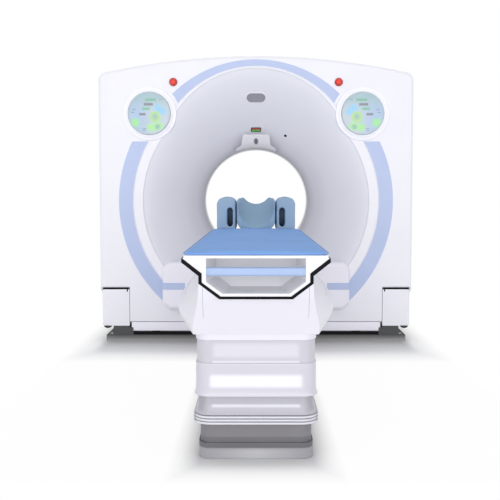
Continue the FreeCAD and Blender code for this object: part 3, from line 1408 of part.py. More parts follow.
def arm_pad():
    """A pad beside the head holder with a blind slot facing the patient."""
    low = TABLE_TOP + FIT
    body = box(ARM_INNER, ARM_OUTER, -HEAD_FRONT, -HEAD_REAR, low, HEAD_TOP)
    body = rounded(body, ARM_ROUND, lambda edge: runs_along(edge, "y")
                   and edge.BoundBox.ZMin > low + 1)
    slot = box(ARM_SLOT_IN, ARM_SLOT_OUT, -HEAD_FRONT - ARM_SLOT_ROUND,
               -HEAD_FRONT + ARM_SLOT_DEEP, ARM_SLOT_LOW, ARM_SLOT_HIGH)
    slot = rounded(slot, ARM_SLOT_ROUND, lambda edge: runs_along(edge, "y"))
    return body.cut(slot)


# ---- floor duct and inlet ------------------------------------------------------------
def floor_duct():
    points = both_ways([(DUCT_HALF - DUCT_HIGH, DUCT_HIGH), (DUCT_HALF, 0)])
    return prism_y(points, -COUCH_REAR + 8, -BEAM_FRONT)


def cable_inlet():
    """A low gland box on the rear beam, with two cable holes."""
    top = BASE_HIGH + INLET_HIGH
    body = box(-INLET_HALF, INLET_HALF, BEAM_REAR - BEAM_WIDE, BEAM_REAR, BASE_HIGH, top)
    for x in (-INLET_HALF / 2, INLET_HALF / 2):
        body = body.cut(rod_y(INLET_BORE, BEAM_REAR - BEAM_WIDE / 2, BEAM_REAR, x,
                              BASE_HIGH + INLET_HIGH / 2))
    return body


# ---- assembly ------------------------------------------------------------------------
def keep_all():
    for name, shape in NODES.items():
        shape.exportStep("parts/" + name + ".step")


def build_gantry_covers():
    skin = gantry_skin()
    band = middle_skin(skin)
    air = front_funnel_air()
    funnel = front_funnel()
    for fitting in (speaker_window(FIT), countdown_display(FIT), microphone_hole()):
        funnel = funnel.cut(fitting)
    keep("front_cover", at_iso(front_cover(skin)))
    keep("rear_cover", at_iso(rear_cover(skin)))
    keep("top_cover", at_iso(top_cover(band)))
    keep("side_covers", at_iso(pair(side_cover(band))))
    keep("belly_cover", at_iso(belly_cover(band)))
    keep("front_funnel", at_iso(funnel))
    keep("rear_funnel", at_iso(rear_funnel()))
    keep("scan_window", at_iso(ring_y(BORE_RADIUS + WALL, BORE_RADIUS, -WINDOW_HALF,
                                      WINDOW_HALF)))
    keep("chin_cover", at_iso(chin_cover(air)))
    keep("laser_housing", at_iso(laser_housing(air)))


def ring_stripes():
    """All the coloured inlays of the front as one node."""
    floor = -GANTRY_FRONT + STRIPE_DEPTH
    face = -GANTRY_FRONT - STRIPE_PROUD
    stripe = side_stripe(face, floor)
    tick = chin_tick()
    return Part.makeCompound([stripe, mirrored(stripe), crescent(face, floor), tick,
                              mirrored(tick)])


def build_front_fittings():
    keep("ring_stripes", at_iso(ring_stripes()))
    keep("display_bezels", at_iso(pair(display_bezel())))
    keep("display_glasses", at_iso(pair(display_glass())))
    keep("estop_button_right", at_iso(estop_button(ESTOP_X)))
    keep("estop_button_left", at_iso(estop_button(-ESTOP_X)))
    keep("speaker_window", at_iso(speaker_window()))
    keep("countdown_display", at_iso(countdown_display()))


def build_rotor():
    keep("tilt_frame", at_iso(tilt_frame()))
    keep("main_bearing_outer", at_iso(ring_y(RACE_OUTER, RACE_SPLIT, RACE_FRONT, FRAME_FRONT)))
    keep("main_bearing_inner", at_iso(ring_y(RACE_SPLIT - FIT, RACE_INNER, DRUM_REAR,
                                             RACE_REAR)))
    keep("rotor_drum", at_iso(rotor_drum()))
    keep("xray_tube", at_iso(xray_tube()))
    keep("detector", at_iso(detector()))
    keep("high_voltage_unit", at_iso(rotor_box(90)))
    keep("tube_cooler", at_iso(rotor_box(-90)))
    keep("slip_ring", at_iso(ring_y(SLIP_OUTER, SLIP_INNER, DRUM_REAR, SLIP_REAR)))
    keep("drive_belt", at_iso(drive_belt()))
    keep("drive_pulley", at_iso(drive_pulley()))
    keep("drive_motor", at_iso(drive_motor()))


def build_stands():
    keep("gantry_base", gantry_base())
    keep("tilt_stands", Part.makeCompound([tilt_stand(True), mirrored(tilt_stand(False))]))
    keep("trunnion_bearings", pair(trunnion_bearing()))
    keep("stand_covers", pair(stand_cover()))
    keep("tilt_sector", at_iso(tilt_sector()))
    keep("tilt_pinion", at_iso(tilt_pinion()))
    keep("tilt_gearmotor", at_iso(tilt_gearmotor()))
    keep("floor_duct", floor_duct())


def build_fan():
    keep("cooling_fan", at_iso(fan_wheel()))
    keep("fan_grille", at_iso(fan_grille()))


def build_couch():
    keep("couch_base", couch_base())
    keep("pedestal", pedestal())
    keep("lower_cover", lower_cover())
    keep("middle_cover", middle_cover())
    keep("upper_cover", upper_cover())
    keep("column_middle", column_tube(1, *MIDDLE_COLUMN))
    keep("column_inner", column_tube(2, INNER_COLUMN_LOW, COUCH_FRAME_TOP - FRAME_THICK))
    keep("lift_actuator", lift_actuator())
    keep("actuator_rod", actuator_rod())
    keep("couch_body", couch_body())
    keep("couch_frame", couch_frame())
    keep("guide_rails", guide_rails())
    keep("support_rollers", support_rollers())


def build_table():
    keep("table_tail", table_tail())
    keep("edge_trim", edge_trim())
    keep("grab_bar", grab_bar())
    keep("cradle", cradle())
    keep("mattress", mattress())
    keep("runner_blocks", runner_blocks())
    keep("head_holder", head_holder())
    keep("arm_pads", pair(arm_pad()))


build_gantry_covers()
build_front_fittings()
build_rotor()
build_stands()
build_fan()
build_couch()
build_table()
keep_all()
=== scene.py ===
import bpy
import bmesh
import math
import numpy as np
from mathutils import Matrix, Vector


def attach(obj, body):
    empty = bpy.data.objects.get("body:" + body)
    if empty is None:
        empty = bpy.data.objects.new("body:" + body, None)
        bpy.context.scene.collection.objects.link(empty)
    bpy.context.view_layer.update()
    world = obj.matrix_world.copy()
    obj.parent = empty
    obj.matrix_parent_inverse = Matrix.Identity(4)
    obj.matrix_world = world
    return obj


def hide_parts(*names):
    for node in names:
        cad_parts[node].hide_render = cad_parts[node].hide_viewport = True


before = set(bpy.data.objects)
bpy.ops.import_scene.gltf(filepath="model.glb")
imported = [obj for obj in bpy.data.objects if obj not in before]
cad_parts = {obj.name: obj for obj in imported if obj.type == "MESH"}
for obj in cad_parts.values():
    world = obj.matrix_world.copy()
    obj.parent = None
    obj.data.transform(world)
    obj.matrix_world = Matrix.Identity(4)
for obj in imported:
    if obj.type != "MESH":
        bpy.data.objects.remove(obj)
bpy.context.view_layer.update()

# Outlines are in millimetres. GANTRY counts from the isocentre, COUCH from the floor, and
# both count Y from the scan plane.
MM = 0.001
MERGE = 0.002 * MM
SCAN_PLANE = 1.055
CENTRE = 0.889
GANTRY = Matrix.Translation((0, SCAN_PLANE, CENTRE))
COUCH = Matrix.Translation((0, SCAN_PLANE, 0))
FRONT = -430.0
REAR = 450.0
SIDES = (("left", -1), ("right", 1))
DISPLAY_X, DISPLAY_Z = 667.0, 551.0
STOP_X, STOP_Z = 518.0, 748.0

# The funnel: radius of the bore, start and depth of the flare, growth of its lower circle,
# rise and growth of its upper one, and the power of its curve.
BORE = 350.0
THROAT = 95.0
DEPTH = 335.0
FLARE = 363.0
RISE = 243.0
EASE = 1.6

# The bodies that pieces ride on.
TILT = "tilting_gantry"
BASE_BODY = "base"
LIFT = "couch_lifted"
TABLE = "table"


# ---- material nodes ----
def shader(name):
    m = bpy.data.materials.new(name)
    m.use_nodes = True
    tree = m.node_tree
    tree.nodes.clear()
    out = tree.nodes.new("ShaderNodeOutputMaterial")
    bsdf = tree.nodes.new("ShaderNodeBsdfPrincipled")
    tree.links.new(bsdf.outputs[0], out.inputs[0])
    return m, tree, bsdf


def noise(tree, scale, detail=4.0, rough=0.5, stretch=(1, 1, 1)):
    coord = tree.nodes.new("ShaderNodeTexCoord")
    mapping = tree.nodes.new("ShaderNodeMapping")
    mapping.inputs["Scale"].default_value = stretch
    tex = tree.nodes.new("ShaderNodeTexNoise")
    tex.inputs["Scale"].default_value = scale
    tex.inputs["Detail"].default_value = detail
    tex.inputs["Roughness"].default_value = rough
    tree.links.new(coord.outputs["Object"], mapping.inputs[0])
    tree.links.new(mapping.outputs[0], tex.inputs["Vector"])
    return tex.outputs[0]


def maths(tree, kind, a, b=0.0, clamp=False):
    node = tree.nodes.new("ShaderNodeMath")
    node.operation = kind
    node.use_clamp = clamp
    for socket, value in zip(node.inputs, (a, b)):
        if isinstance(value, (int, float)):
            socket.default_value = value
        else:
            tree.links.new(value, socket)
    return node.outputs[0]


def product(tree, first, *others):
    for other in others:
        first = maths(tree, "MULTIPLY", first, other)
    return first


def length(tree, u, v):
    return maths(tree, "SQRT", maths(tree, "ADD", product(tree, u, u), product(tree, v, v)))


def axes(tree):
    """The surface's own x, y and z in millimetres."""
    coord = tree.nodes.new("ShaderNodeTexCoord")
    split = tree.nodes.new("ShaderNodeSeparateXYZ")
    tree.links.new(coord.outputs["Object"], split.inputs[0])
    return [maths(tree, "DIVIDE", out, MM) for out in split.outputs]


def soft_edge(tree, outside, soft):
    """1 inside an outline and 0 outside it, from the distance outside."""
    return maths(tree, "SUBTRACT", 0.5, maths(tree, "DIVIDE", outside, soft), True)


def patch(tree, u, v, left, right, low, high, soft):
    """1 inside a rectangle of the surface and 0 outside, with a soft edge."""
    across = maths(tree, "ABSOLUTE", maths(tree, "SUBTRACT", u, (left + right) / 2))
    along = maths(tree, "ABSOLUTE", maths(tree, "SUBTRACT", v, (low + high) / 2))
    outside = maths(tree, "MAXIMUM", maths(tree, "SUBTRACT", across, (right - left) / 2),
                    maths(tree, "SUBTRACT", along, (high - low) / 2))
    return soft_edge(tree, outside, soft)


def disc_patch(tree, u, v, cu, cv, radius, soft):
    away = length(tree, maths(tree, "SUBTRACT", u, cu), maths(tree, "SUBTRACT", v, cv))
    return soft_edge(tree, maths(tree, "SUBTRACT", away, radius), soft)


def mix(tree, share, first, second):
    node = tree.nodes.new("ShaderNodeMix")
    node.data_type = "RGBA"
    tree.links.new(share, node.inputs[0])
    for socket, value in ((node.inputs[6], first), (node.inputs[7], second)):
        if isinstance(value, tuple):
            socket.default_value = (*value, 1)
        else:
            tree.links.new(value, socket)
    return node.outputs[2]


def ranged(tree, source, low, high, start=0.0, end=1.0):
    node = tree.nodes.new("ShaderNodeMapRange")
    node.inputs["From Min"].default_value = start
    node.inputs["From Max"].default_value = end
    node.inputs["To Min"].default_value = low
    node.inputs["To Max"].default_value = high
    tree.links.new(source, node.inputs[0])
    return node.outputs[0]


def ramp(tree, source, stops):
    node = tree.nodes.new("ShaderNodeValToRGB")
    while len(node.color_ramp.elements) < len(stops):
        node.color_ramp.elements.new(0.5)
    for element, (place, colour) in zip(node.color_ramp.elements, stops):
        element.position = place
        element.color = (*colour, 1)
    tree.links.new(source, node.inputs[0])
    return node.outputs[0]


def bump(tree, bsdf, source, strength, distance):
    node = tree.nodes.new("ShaderNodeBump")
    node.inputs["Strength"].default_value = strength
    node.inputs["Distance"].default_value = distance
    tree.links.new(source, node.inputs["Height"])
    tree.links.new(node.outputs[0], bsdf.inputs["Normal"])


def shade(colour, share):
    return tuple(min(1.0, c * share) for c in colour)


def grey(level):
    return (level,) * 3


def srgb(*levels):
    """Screen levels from 0 to 255 as light."""
    return tuple(((v / 255 + 0.055) / 1.055) ** 2.4 if v > 10 else v / 3294.6 for v in levels)


# ---- materials ----
def finish_moulded(tree, bsdf, colour_out, rough, grain, depth):
    tree.links.new(colour_out, bsdf.inputs["Base Color"])
    tree.links.new(ranged(tree, noise(tree, 14.0, 6.0), rough - 0.07, rough + 0.09),
                   bsdf.inputs["Roughness"])
    bump(tree, bsdf, noise(tree, grain, 2.0), 0.5, depth)


def plastic(name, colour, rough=0.38, grain=900.0, depth=0.00012, vary=0.05, coat=0.0, metal=0.0,
            specular=0.5):
    """Moulded or painted surface: fine grain, slow tone change, uneven gloss."""
    m, tree, bsdf = shader(name)
    colour_out = ramp(tree, noise(tree, 2.6, 5.0, 0.6),
                      [(0.3, shade(colour, 1 - vary)), (0.7, shade(colour, 1 + vary * 0.3))])
    finish_moulded(tree, bsdf, colour_out, rough, grain, depth)
    for socket, value in (("Metallic", metal), ("Specular IOR Level", specular),
                          ("Coat Weight", coat), ("Coat Roughness", 0.12)):
        bsdf.inputs[socket].default_value = value
    return m


def light_painted_by_height(name, stops, middle=None):
    """Paint with light and shade painted by height in millimetres: (height, colour) pairs."""
    m, tree, bsdf = shader(name)
    x, _, z = axes(tree)
    low, high = stops[0][0], stops[-1][0]
    share = ranged(tree, z, 0.0, 1.0, low, high)
    tone = ramp(tree, share, [((h - low) / (high - low), c) for h, c in stops])
    # painted highlight: the middle colour lightens the centre low down
    if middle:
        near = ranged(tree, maths(tree, "ABSOLUTE", x), 1.0, 0.0, 20.0, 170.0)
        lower = ranged(tree, z, 1.0, 0.0, 26.0, 40.0)
        tone = mix(tree, product(tree, near, lower), tone, middle)
    spots = ranged(tree, noise(tree, 5.0, 5.0), 0.0, 0.06)
    finish_moulded(tree, bsdf, mix(tree, spots, tone, grey(0.02)), 0.5, 400.0, 0.0002)
    return m


def light_painted_cover(name, dark, colour, light):
    """Moulded cover whose mesh carries painted light, from -1, painted shade, over 0 to 1,
    highlight.
    """
    m, tree, bsdf = shader(name)
    tone = tree.nodes.new("ShaderNodeAttribute")
    tone.attribute_name = "tone"
    # the tone attribute is painted light: below 0 painted shade, above 0 painted highlight
    share = ranged(tree, tone.outputs["Fac"], 0.0, 1.0, -1.0, 1.0)
    base = ramp(tree, share, [(0.0, dark), (0.5, colour), (1.0, light)])
    spots = ranged(tree, noise(tree, 2.6, 5.0, 0.6), 0.0, 0.05)
    finish_moulded(tree, bsdf, mix(tree, spots, base, shade(colour, 0.8)), 0.36, 900.0, 0.00012)
    return m


def brushed(name, colour, rough=0.32):
    """Bare metal with fine level lines."""
    m, tree, bsdf = shader(name)
    lines = noise(tree, 60.0, 6.0, 0.7, (1, 1, 40))
    tree.links.new(ramp(tree, lines, [(0.25, shade(colour, 0.8)), (0.75, colour)]),
                   bsdf.inputs["Base Color"])
    tree.links.new(ranged(tree, lines, rough - 0.08, rough + 0.14), bsdf.inputs["Roughness"])
    bump(tree, bsdf, lines, 0.3, 0.0001)
    bsdf.inputs["Metallic"].default_value = 1.0
    return m


def upholstery(name, colour, rough=0.5):
    """Coated fabric: fine pebble grain over a soft, uneven sheen."""
    m, tree, bsdf = shader(name)
    slow = noise(tree, 5.0, 4.0)
    tree.links.new(ramp(tree, slow, [(0.3, shade(colour, 0.95)), (0.7, shade(colour, 1.03))]),
                   bsdf.inputs["Base Color"])
    tree.links.new(ranged(tree, noise(tree, 30.0), rough - 0.06, rough + 0.08),
                   bsdf.inputs["Roughness"])
    cells = tree.nodes.new("ShaderNodeTexVoronoi")
    cells.inputs["Scale"].default_value = 520.0
    coord = tree.nodes.new("ShaderNodeTexCoord")
    tree.links.new(coord.outputs["Object"], cells.inputs["Vector"])
    bump(tree, bsdf, cells.outputs["Distance"], 0.3, 0.0002)
    bsdf.inputs["Specular IOR Level"].default_value = 0.25
    return m


def overlay(m, share, colour):
    """Mix a colour over what feeds a material's base colour."""
    tree = m.node_tree
    bsdf = next(n for n in tree.nodes if n.type == "BSDF_PRINCIPLED")
    base = bsdf.inputs["Base Color"]
    tree.links.new(mix(tree, share, base.links[0].from_socket, colour), base)
    return m


def slot_shaded_upholstery(name, colour, dark):
    """Pad cover with painted shade, darker down the depth and towards the foot of its slot."""
    m = upholstery(name, colour, 0.6)
    tree = m.node_tree
    x, y, z = axes(tree)
    # painted shade inside the slot
    inside = patch(tree, maths(tree, "ABSOLUTE", x), z, 121, 160, 760, 872, 3)
    deep = ranged(tree, y, 0.0, 1.0, -32.0, 12.0)
    foot = ranged(tree, z, 1.0, 0.35, 770.0, 868.0)
    return overlay(m, product(tree, inside, deep, foot), dark)


def bore_shaded_paint(name, colour):
    """Funnel paint with painted shade, a little darker where it rounds into the bore."""
    m = plastic(name, colour, 0.42, vary=0.02)
    tree = m.node_tree
    x, _, z = axes(tree)
    # painted shade: darker with less radius, strongest at the bore
    share = ramp(tree, ranged(tree, length(tree, x, z), 0.0, 1.0, BORE, BORE + FLARE),
                 [(0.0, grey(0.58)), (0.03, grey(0.34)), (0.12, grey(0.14)),
                  (0.33, grey(0.02)), (0.8, grey(0.0))])
    return overlay(m, share, (0.10, 0.10, 0.11))


def perforated(name, plate, hole, pitch):
    """Thin plate with a regular field of small holes."""
    m, tree, bsdf = shader(name)
    x, _, z = axes(tree)
    u = maths(tree, "PINGPONG", x, pitch / 2)
    v = maths(tree, "PINGPONG", z, pitch / 2)
    dots = disc_patch(tree, u, v, 0.0, 0.0, pitch * 0.27, pitch * 0.15)
    share = maths(tree, "MAXIMUM", dots, ranged(tree, noise(tree, 40.0), 0.0, 0.2))
    finish_moulded(tree, bsdf, mix(tree, share, plate, hole), 0.35, 1500.0, 0.0001)
    return m


def screen(name):
    """Round display with generic gauges; the two displays mirror each other."""
    m, tree, bsdf = shader(name)
    x, _, z = axes(tree)
    u = maths(tree, "SUBTRACT", DISPLAY_X, maths(tree, "ABSOLUTE", x))
    v = maths(tree, "SUBTRACT", z, CENTRE / MM + DISPLAY_Z)
    right = ranged(tree, u, 0.0, 1.0, -70.0, 30.0)
    top = ranged(tree, v, 0.0, 1.0, 20.0, 100.0)
    colour = mix(tree, right, srgb(160, 190, 228), srgb(190, 206, 216))
    colour = mix(tree, top, colour, srgb(150, 186, 198))
    for *disc, levels in ((56, 32, 24, 22, (128, 205, 248)), (84, 12, 22, 22, (128, 205, 248)),
                          (-88, -58, 27, 22, (140, 236, 132)), (12, -86, 24, 18, (154, 240, 122)),
                          (60, -80, 24, 18, (154, 240, 122)), (37, -22, 35, 9, (165, 226, 122)),
                          (37, -20, 18, 14, (150, 190, 165)), (52, -84, 16, 12, (120, 190, 150))):
        colour = mix(tree, disc_patch(tree, u, v, *disc), colour, srgb(*levels))
    for *bar, levels in ((-25, 42, 76, 92, (85, 175, 130)), (-33, 24, 48, 64, (88, 100, 112)),
                         (-44, 3, 20, 37, (88, 180, 140)), (-63, -22, -13, 2, (85, 95, 112)),
                         (-40, -18, -98, -92, (110, 140, 150)),
                         (-40, -24, -110, -104, (110, 140, 150)),
                         (-104, -84, 20, 27, (110, 140, 152)),
                         (-112, -92, 2, 9, (110, 140, 152)), (64, 88, 84, 90, (118, 150, 160))):
        colour = mix(tree, patch(tree, u, v, *bar, 6.0), colour, srgb(*levels))
    rim = disc_patch(tree, u, v, 0.0, 0.0, 127.0, 5.0)
    colour = mix(tree, rim, srgb(168, 184, 192), colour)
    fine = ranged(tree, noise(tree, 300.0), 0.28, 0.38)
    colour = mix(tree, fine, colour, (0.13, 0.16, 0.18))
    tree.links.new(colour, bsdf.inputs["Base Color"])
    tree.links.new(colour, bsdf.inputs["Emission Color"])
    tree.links.new(ranged(tree, noise(tree, 20.0), 0.16, 0.26), bsdf.inputs["Roughness"])
    bsdf.inputs["Emission Strength"].default_value = 0.02
    bsdf.inputs["Coat Weight"].default_value = 0.3
    bsdf.inputs["Coat Roughness"].default_value = 0.05
    return m


def counter_face(name):
    """Dark panel with a red bar over two green fields."""
    m, tree, bsdf = shader(name)
    x, _, z = axes(tree)
    colour = mix(tree, patch(tree, x, z, -27, 27, 5, 12, 2), (0.012, 0.012, 0.014),
                 srgb(215, 70, 60))
    colour = mix(tree, patch(tree, x, z, -27, 27, -13, 2, 2), colour, srgb(95, 185, 85))
    colour = mix(tree, patch(tree, x, z, -1.4, 1.4, -13, 2, 1), colour, (0.05, 0.09, 0.05))
    spots = ranged(tree, noise(tree, 60.0), 0.0, 0.08)
    tree.links.new(mix(tree, spots, colour, grey(0.1)), bsdf.inputs["Base Color"])
    tree.links.new(ranged(tree, noise(tree, 25.0), 0.18, 0.3), bsdf.inputs["Roughness"])
    bsdf.inputs["Coat Weight"].default_value = 0.3
    return m


WHITE = plastic("cover white", (0.78, 0.775, 0.835), 0.36, vary=0.02)
# funnel and laser housing carry painted shade towards the bore
FUNNEL = bore_shaded_paint("funnel white", (0.685, 0.69, 0.755))
HOUSING = bore_shaded_paint("housing white", (0.74, 0.74, 0.79))
CHIN = plastic("chin white", (0.79, 0.775, 0.855), 0.4, vary=0.02)
BELLY = plastic("belly white", (0.78, 0.77, 0.845), 0.42, vary=0.03)
BODY = plastic("couch white", (0.72, 0.71, 0.78), 0.38, vary=0.02)
GREY = plastic("cover grey", (0.19, 0.184, 0.198), 0.5, vary=0.08)
PALE_GREY = plastic("pale grey", (0.52, 0.51, 0.54), 0.48, vary=0.06)
# the table tail's white, lighter than the cover white: painted light for its shaded recess
LIT_RECESS = plastic("recess white, painted light", (0.90, 0.90, 0.93), 0.45, vary=0.02)
STRIPE = plastic("stripe blue", (0.42, 0.495, 0.72), 0.38, vary=0.04, coat=0.1)
BLACK = plastic("black plastic", (0.006, 0.006, 0.007), 0.6, vary=0.2, specular=0.1)
SEAM = plastic("seam shadow", (0.09, 0.09, 0.10), 0.7, vary=0.15)
FAINT = plastic("faint seam", (0.42, 0.41, 0.46), 0.6, vary=0.1)
RUBBER = plastic("black rubber", (0.02, 0.02, 0.021), 0.75, 400.0, 0.0004, 0.2)
FRAME = plastic("frame paint", (0.16, 0.17, 0.19), 0.5, 300.0, 0.0003, 0.12)
CREAM = plastic("unit paint", (0.55, 0.55, 0.50), 0.45, 400.0, 0.0002, 0.08)
RED = plastic("button red", (0.78, 0.035, 0.02), 0.38, vary=0.1, coat=0.08)
RED_RIM = plastic("rim red", (0.36, 0.008, 0.009), 0.4, vary=0.1)
FILM = plastic("window film", (0.28, 0.28, 0.32), 0.3, 1500.0, vary=0.08)
BAR = plastic("bar blue", (0.35, 0.46, 0.70), 0.34, vary=0.05, coat=0.2)
LENS = plastic("lens dark", srgb(104, 104, 114), 0.15, vary=0.2, coat=0.6)
LENS_RIM = plastic("lens rim", srgb(128, 128, 138), 0.4, vary=0.1)
BEZEL = plastic("rim white", (0.88, 0.88, 0.94), 0.3, vary=0.02, coat=0.2)
GLASS_RING = plastic("display edge", srgb(172, 186, 194), 0.3, vary=0.08)
CAP = plastic("screw cap", (0.72, 0.72, 0.78), 0.45, vary=0.05)
STEEL = brushed("steel", (0.55, 0.56, 0.58))
ALUMINIUM = brushed("aluminium", (0.68, 0.69, 0.71), 0.4)
CASTING = plastic("casting", (0.18, 0.185, 0.19), 0.5, 250.0, 0.0008, 0.15, metal=0.5)
COPPER = brushed("ring copper", (0.72, 0.42, 0.26), 0.3)
MATTRESS = upholstery("mattress blue", srgb(122, 162, 219), 0.7)
PAD = slot_shaded_upholstery("pad blue", srgb(142, 165, 190), srgb(52, 68, 88))
CUP = upholstery("cup blue", srgb(136, 163, 188), 0.6)
PILL = perforated("pill grille", (0.31, 0.31, 0.355), (0.16, 0.16, 0.18), 4.5)
SCREEN = screen("screen")
COUNTER = counter_face("counter face")
# gantry base: lighter below 40 mm towards the floor is a painted reflection of the floor; above it
# the foot blocks' own dark grey
BASE = light_painted_by_height("base paint, painted floor reflection", [(0, grey(0.40)), (18, grey(0.20)),
                                        (40, (0.05, 0.05, 0.053)), (88, (0.044, 0.046, 0.049))])
# couch base: the darker level from 41 mm up is painted shade on the upper step; the lighter middle
# of the lower step is a painted highlight
PLINTH = light_painted_by_height("plinth paint, painted light and shade", [(0, (0.34, 0.33, 0.36)), (36, (0.31, 0.30, 0.33)),
                                            (41, (0.12, 0.12, 0.13)), (80, (0.15, 0.145, 0.16))],
                           middle=(0.46, 0.46, 0.48))
# the three pedestal covers are one white: their different levels are lit and shaded copies, the
# lower cover darkest as painted shade under the middle one; in each, the first colour is painted
# shade and the last a painted highlight
UPPER = light_painted_cover("upper cover white", (0.49, 0.48, 0.535), (0.53, 0.52, 0.575), (0.74, 0.73, 0.80))
MIDDLE = light_painted_cover("middle cover white", (0.53, 0.52, 0.58), (0.575, 0.565, 0.625), (0.82, 0.81, 0.89))
LOWER = light_painted_cover("lower cover white", (0.30, 0.29, 0.33), (0.44, 0.43, 0.48), (0.86, 0.86, 0.92))

NODE_LOOKS = {
    WHITE: "front_cover rear_cover top_cover side_covers rear_funnel stand_covers",
    LIT_RECESS: "table_tail",
    BELLY: "belly_cover",
    FUNNEL: "front_funnel",
    CHIN: "chin_cover",
    GREY: "pedestal",
    PALE_GREY: "cradle floor_duct",
    PLINTH: "couch_base",
    STRIPE: "ring_stripes",
    HOUSING: "laser_housing",
    BLACK: "countdown_display fan_grille cooling_fan",
    FILM: "scan_window",
    PILL: "speaker_window",
    SCREEN: "display_glasses",
    RED: "estop_button_right estop_button_left",
    BASE: "gantry_base",
    FRAME: "tilt_stands couch_frame",
    CREAM: "high_voltage_unit tube_cooler xray_tube",
    STEEL: "trunnion_bearings tilt_sector tilt_pinion main_bearing_outer main_bearing_inner "
           "drive_pulley guide_rails actuator_rod support_rollers",
    ALUMINIUM: "column_middle column_inner runner_blocks detector rotor_drum tilt_frame",
    COPPER: "slip_ring",
    CASTING: "tilt_gearmotor drive_motor lift_actuator",
    RUBBER: "drive_belt",
    UPPER: "upper_cover",
    MIDDLE: "middle_cover",
    LOWER: "lower_cover",
    BODY: "couch_body edge_trim display_bezels",
    MATTRESS: "mattress",
    PAD: "head_holder arm_pads",
    BAR: "grab_bar",
}


def dress():
    """Give each carried-over solid its material and smooth, crisp-edged shading."""
    for material, names in NODE_LOOKS.items():
        for name in names.split():
            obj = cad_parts[name]
            obj.data.materials.clear()
            obj.data.materials.append(material)
            weld = obj.modifiers.new("weld", "WELD")
            weld.merge_threshold = 0.00001
            obj.data.shade_smooth()
            split = obj.modifiers.new("split", "EDGE_SPLIT")
            split.split_angle = math.radians(28)
            even = obj.modifiers.new("even", "WEIGHTED_NORMAL")
            even.keep_sharp = True


# ---- mesh helpers ----
def meshed(name, points, faces):
    """A mesh whose coinciding points are joined and whose faces all turn outwards."""
    mesh = bpy.data.meshes.new(name)
    mesh.from_pydata([tuple(p) for p in points], [], faces)
    made = bmesh.new()
    made.from_mesh(mesh)
    bmesh.ops.remove_doubles(made, verts=made.verts, dist=MERGE)
    bmesh.ops.recalc_face_normals(made, faces=made.faces)
    made.to_mesh(mesh)
    made.free()
    return mesh


def linked(name, data):
    obj = bpy.data.objects.new(name, data)
    bpy.context.collection.objects.link(obj)
    return obj


def placed(base, x, y, z, degrees=0.0, axis="X"):
    """Place in millimetres on the gantry or the couch, turned about an axis."""
    return (base @ Matrix.Translation((x * MM, y * MM, z * MM))
            @ Matrix.Rotation(math.radians(degrees), 4, axis))


def piece(name, points, faces, material, body, place=None, crease=32, nodes=()):
    """A mesh piece that rides on a body; its points are in metres about its place."""
    mesh = meshed(name, points, faces)
    mesh.materials.append(material)
    mesh.shade_smooth()
    mesh.set_sharp_from_angle(angle=math.radians(crease))
    obj = linked(name, mesh)
    if place is not None:
        obj.matrix_world = place
    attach(obj, body)
    if nodes:
        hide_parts(*nodes)
    return obj


def grid_faces(rows, columns, closed=False):
    """Faces between rings of points; closed also joins the last ring to the first."""
    faces = []
    for row in range(rows if closed else rows - 1):
        here, below = row * columns, (row + 1) % rows * columns
        for column in range(columns):
            after = (column + 1) % columns
            faces.append((here + column, here + after, below + after, below + column))
    return faces


def lathe(name, profile, material, body, place, steps, **more):
    """Turned piece: (radius, height) pairs in mm, the height towards the front."""
    turns = [2 * math.pi * step / steps for step in range(steps)]
    points = [(radius * math.cos(turn) * MM, -high * MM, radius * math.sin(turn) * MM)
              for radius, high in profile for turn in turns]
    closed = profile[0][0] > 0.01
    piece(name, points, grid_faces(len(profile), steps, closed), material, body, place, **more)


def slabs(name, outlines, axis, start, end, material, body, place=GANTRY, bevel=0.0, **more):
    """One piece of several flat outlines, in mm, pushed along an axis."""
    points, faces = [], []
    for outline in outlines:
        first, count = len(points), len(outline)
        for depth in (start, end):
            for a, b in outline:
                spot = {"x": (depth, a, b), "y": (a, depth, b), "z": (a, b, depth)}[axis]
                points.append(tuple(value * MM for value in spot))
        faces.append(tuple(range(first, first + count)))
        faces.append(tuple(reversed(range(first + count, first + 2 * count))))
        for k in range(count):
            after = (k + 1) % count
            faces.append((first + k, first + after, first + count + after, first + count + k))
    obj = piece(name, points, faces, material, body, place, **more)
    if bevel:
        soften(obj, bevel)


def soften(obj, width):
    edge = obj.modifiers.new("bevel", "BEVEL")
    edge.width = width * MM
    edge.segments = 3
    edge.limit_method = "ANGLE"
    edge.harden_normals = True


def box_outline(x0, x1, z0, z1):
    return [(x0, z0), (x1, z0), (x1, z1), (x0, z1)]


def pill_outline(half_x, half_z, steps=20, cx=0.0, cz=0.0):
    inner = half_x - half_z
    points = []
    for side in (1, -1):
        for step in range(steps + 1):
            turn = math.radians(-90 + 180 * step / steps)
            points.append((cx + side * (inner + half_z * math.cos(turn)),
                           cz + side * half_z * math.sin(turn)))
    return points


def oval(half_x, half_z, steps=48):
    return [(half_x * math.cos(2 * math.pi * k / steps), half_z * math.sin(2 * math.pi * k / steps))
            for k in range(steps)]


def mirrored(outline):
    return [(-x, z) for x, z in reversed(outline)]


# ---- funnel ----
def funnel_radius(turn, share):
    """Reach of the funnel from the bore's axis, in a direction counted from straight up."""
    low = BORE + FLARE * share
    rise = RISE * share
    high = rise * math.cos(turn) + math.sqrt((BORE + rise) ** 2 - (rise * math.sin(turn)) ** 2)
    blend = 3.0 * share
    return (low + high) / 2 + math.hypot((low - high) / 2, blend)


def funnel_share(y):
    if y <= THROAT:
        return 0.0
    return 1 - max(0.0, 1 - (y - THROAT) / DEPTH) ** (1 / EASE)


def funnel_y(share):
    return THROAT + DEPTH * (1 - (1 - share) ** EASE)


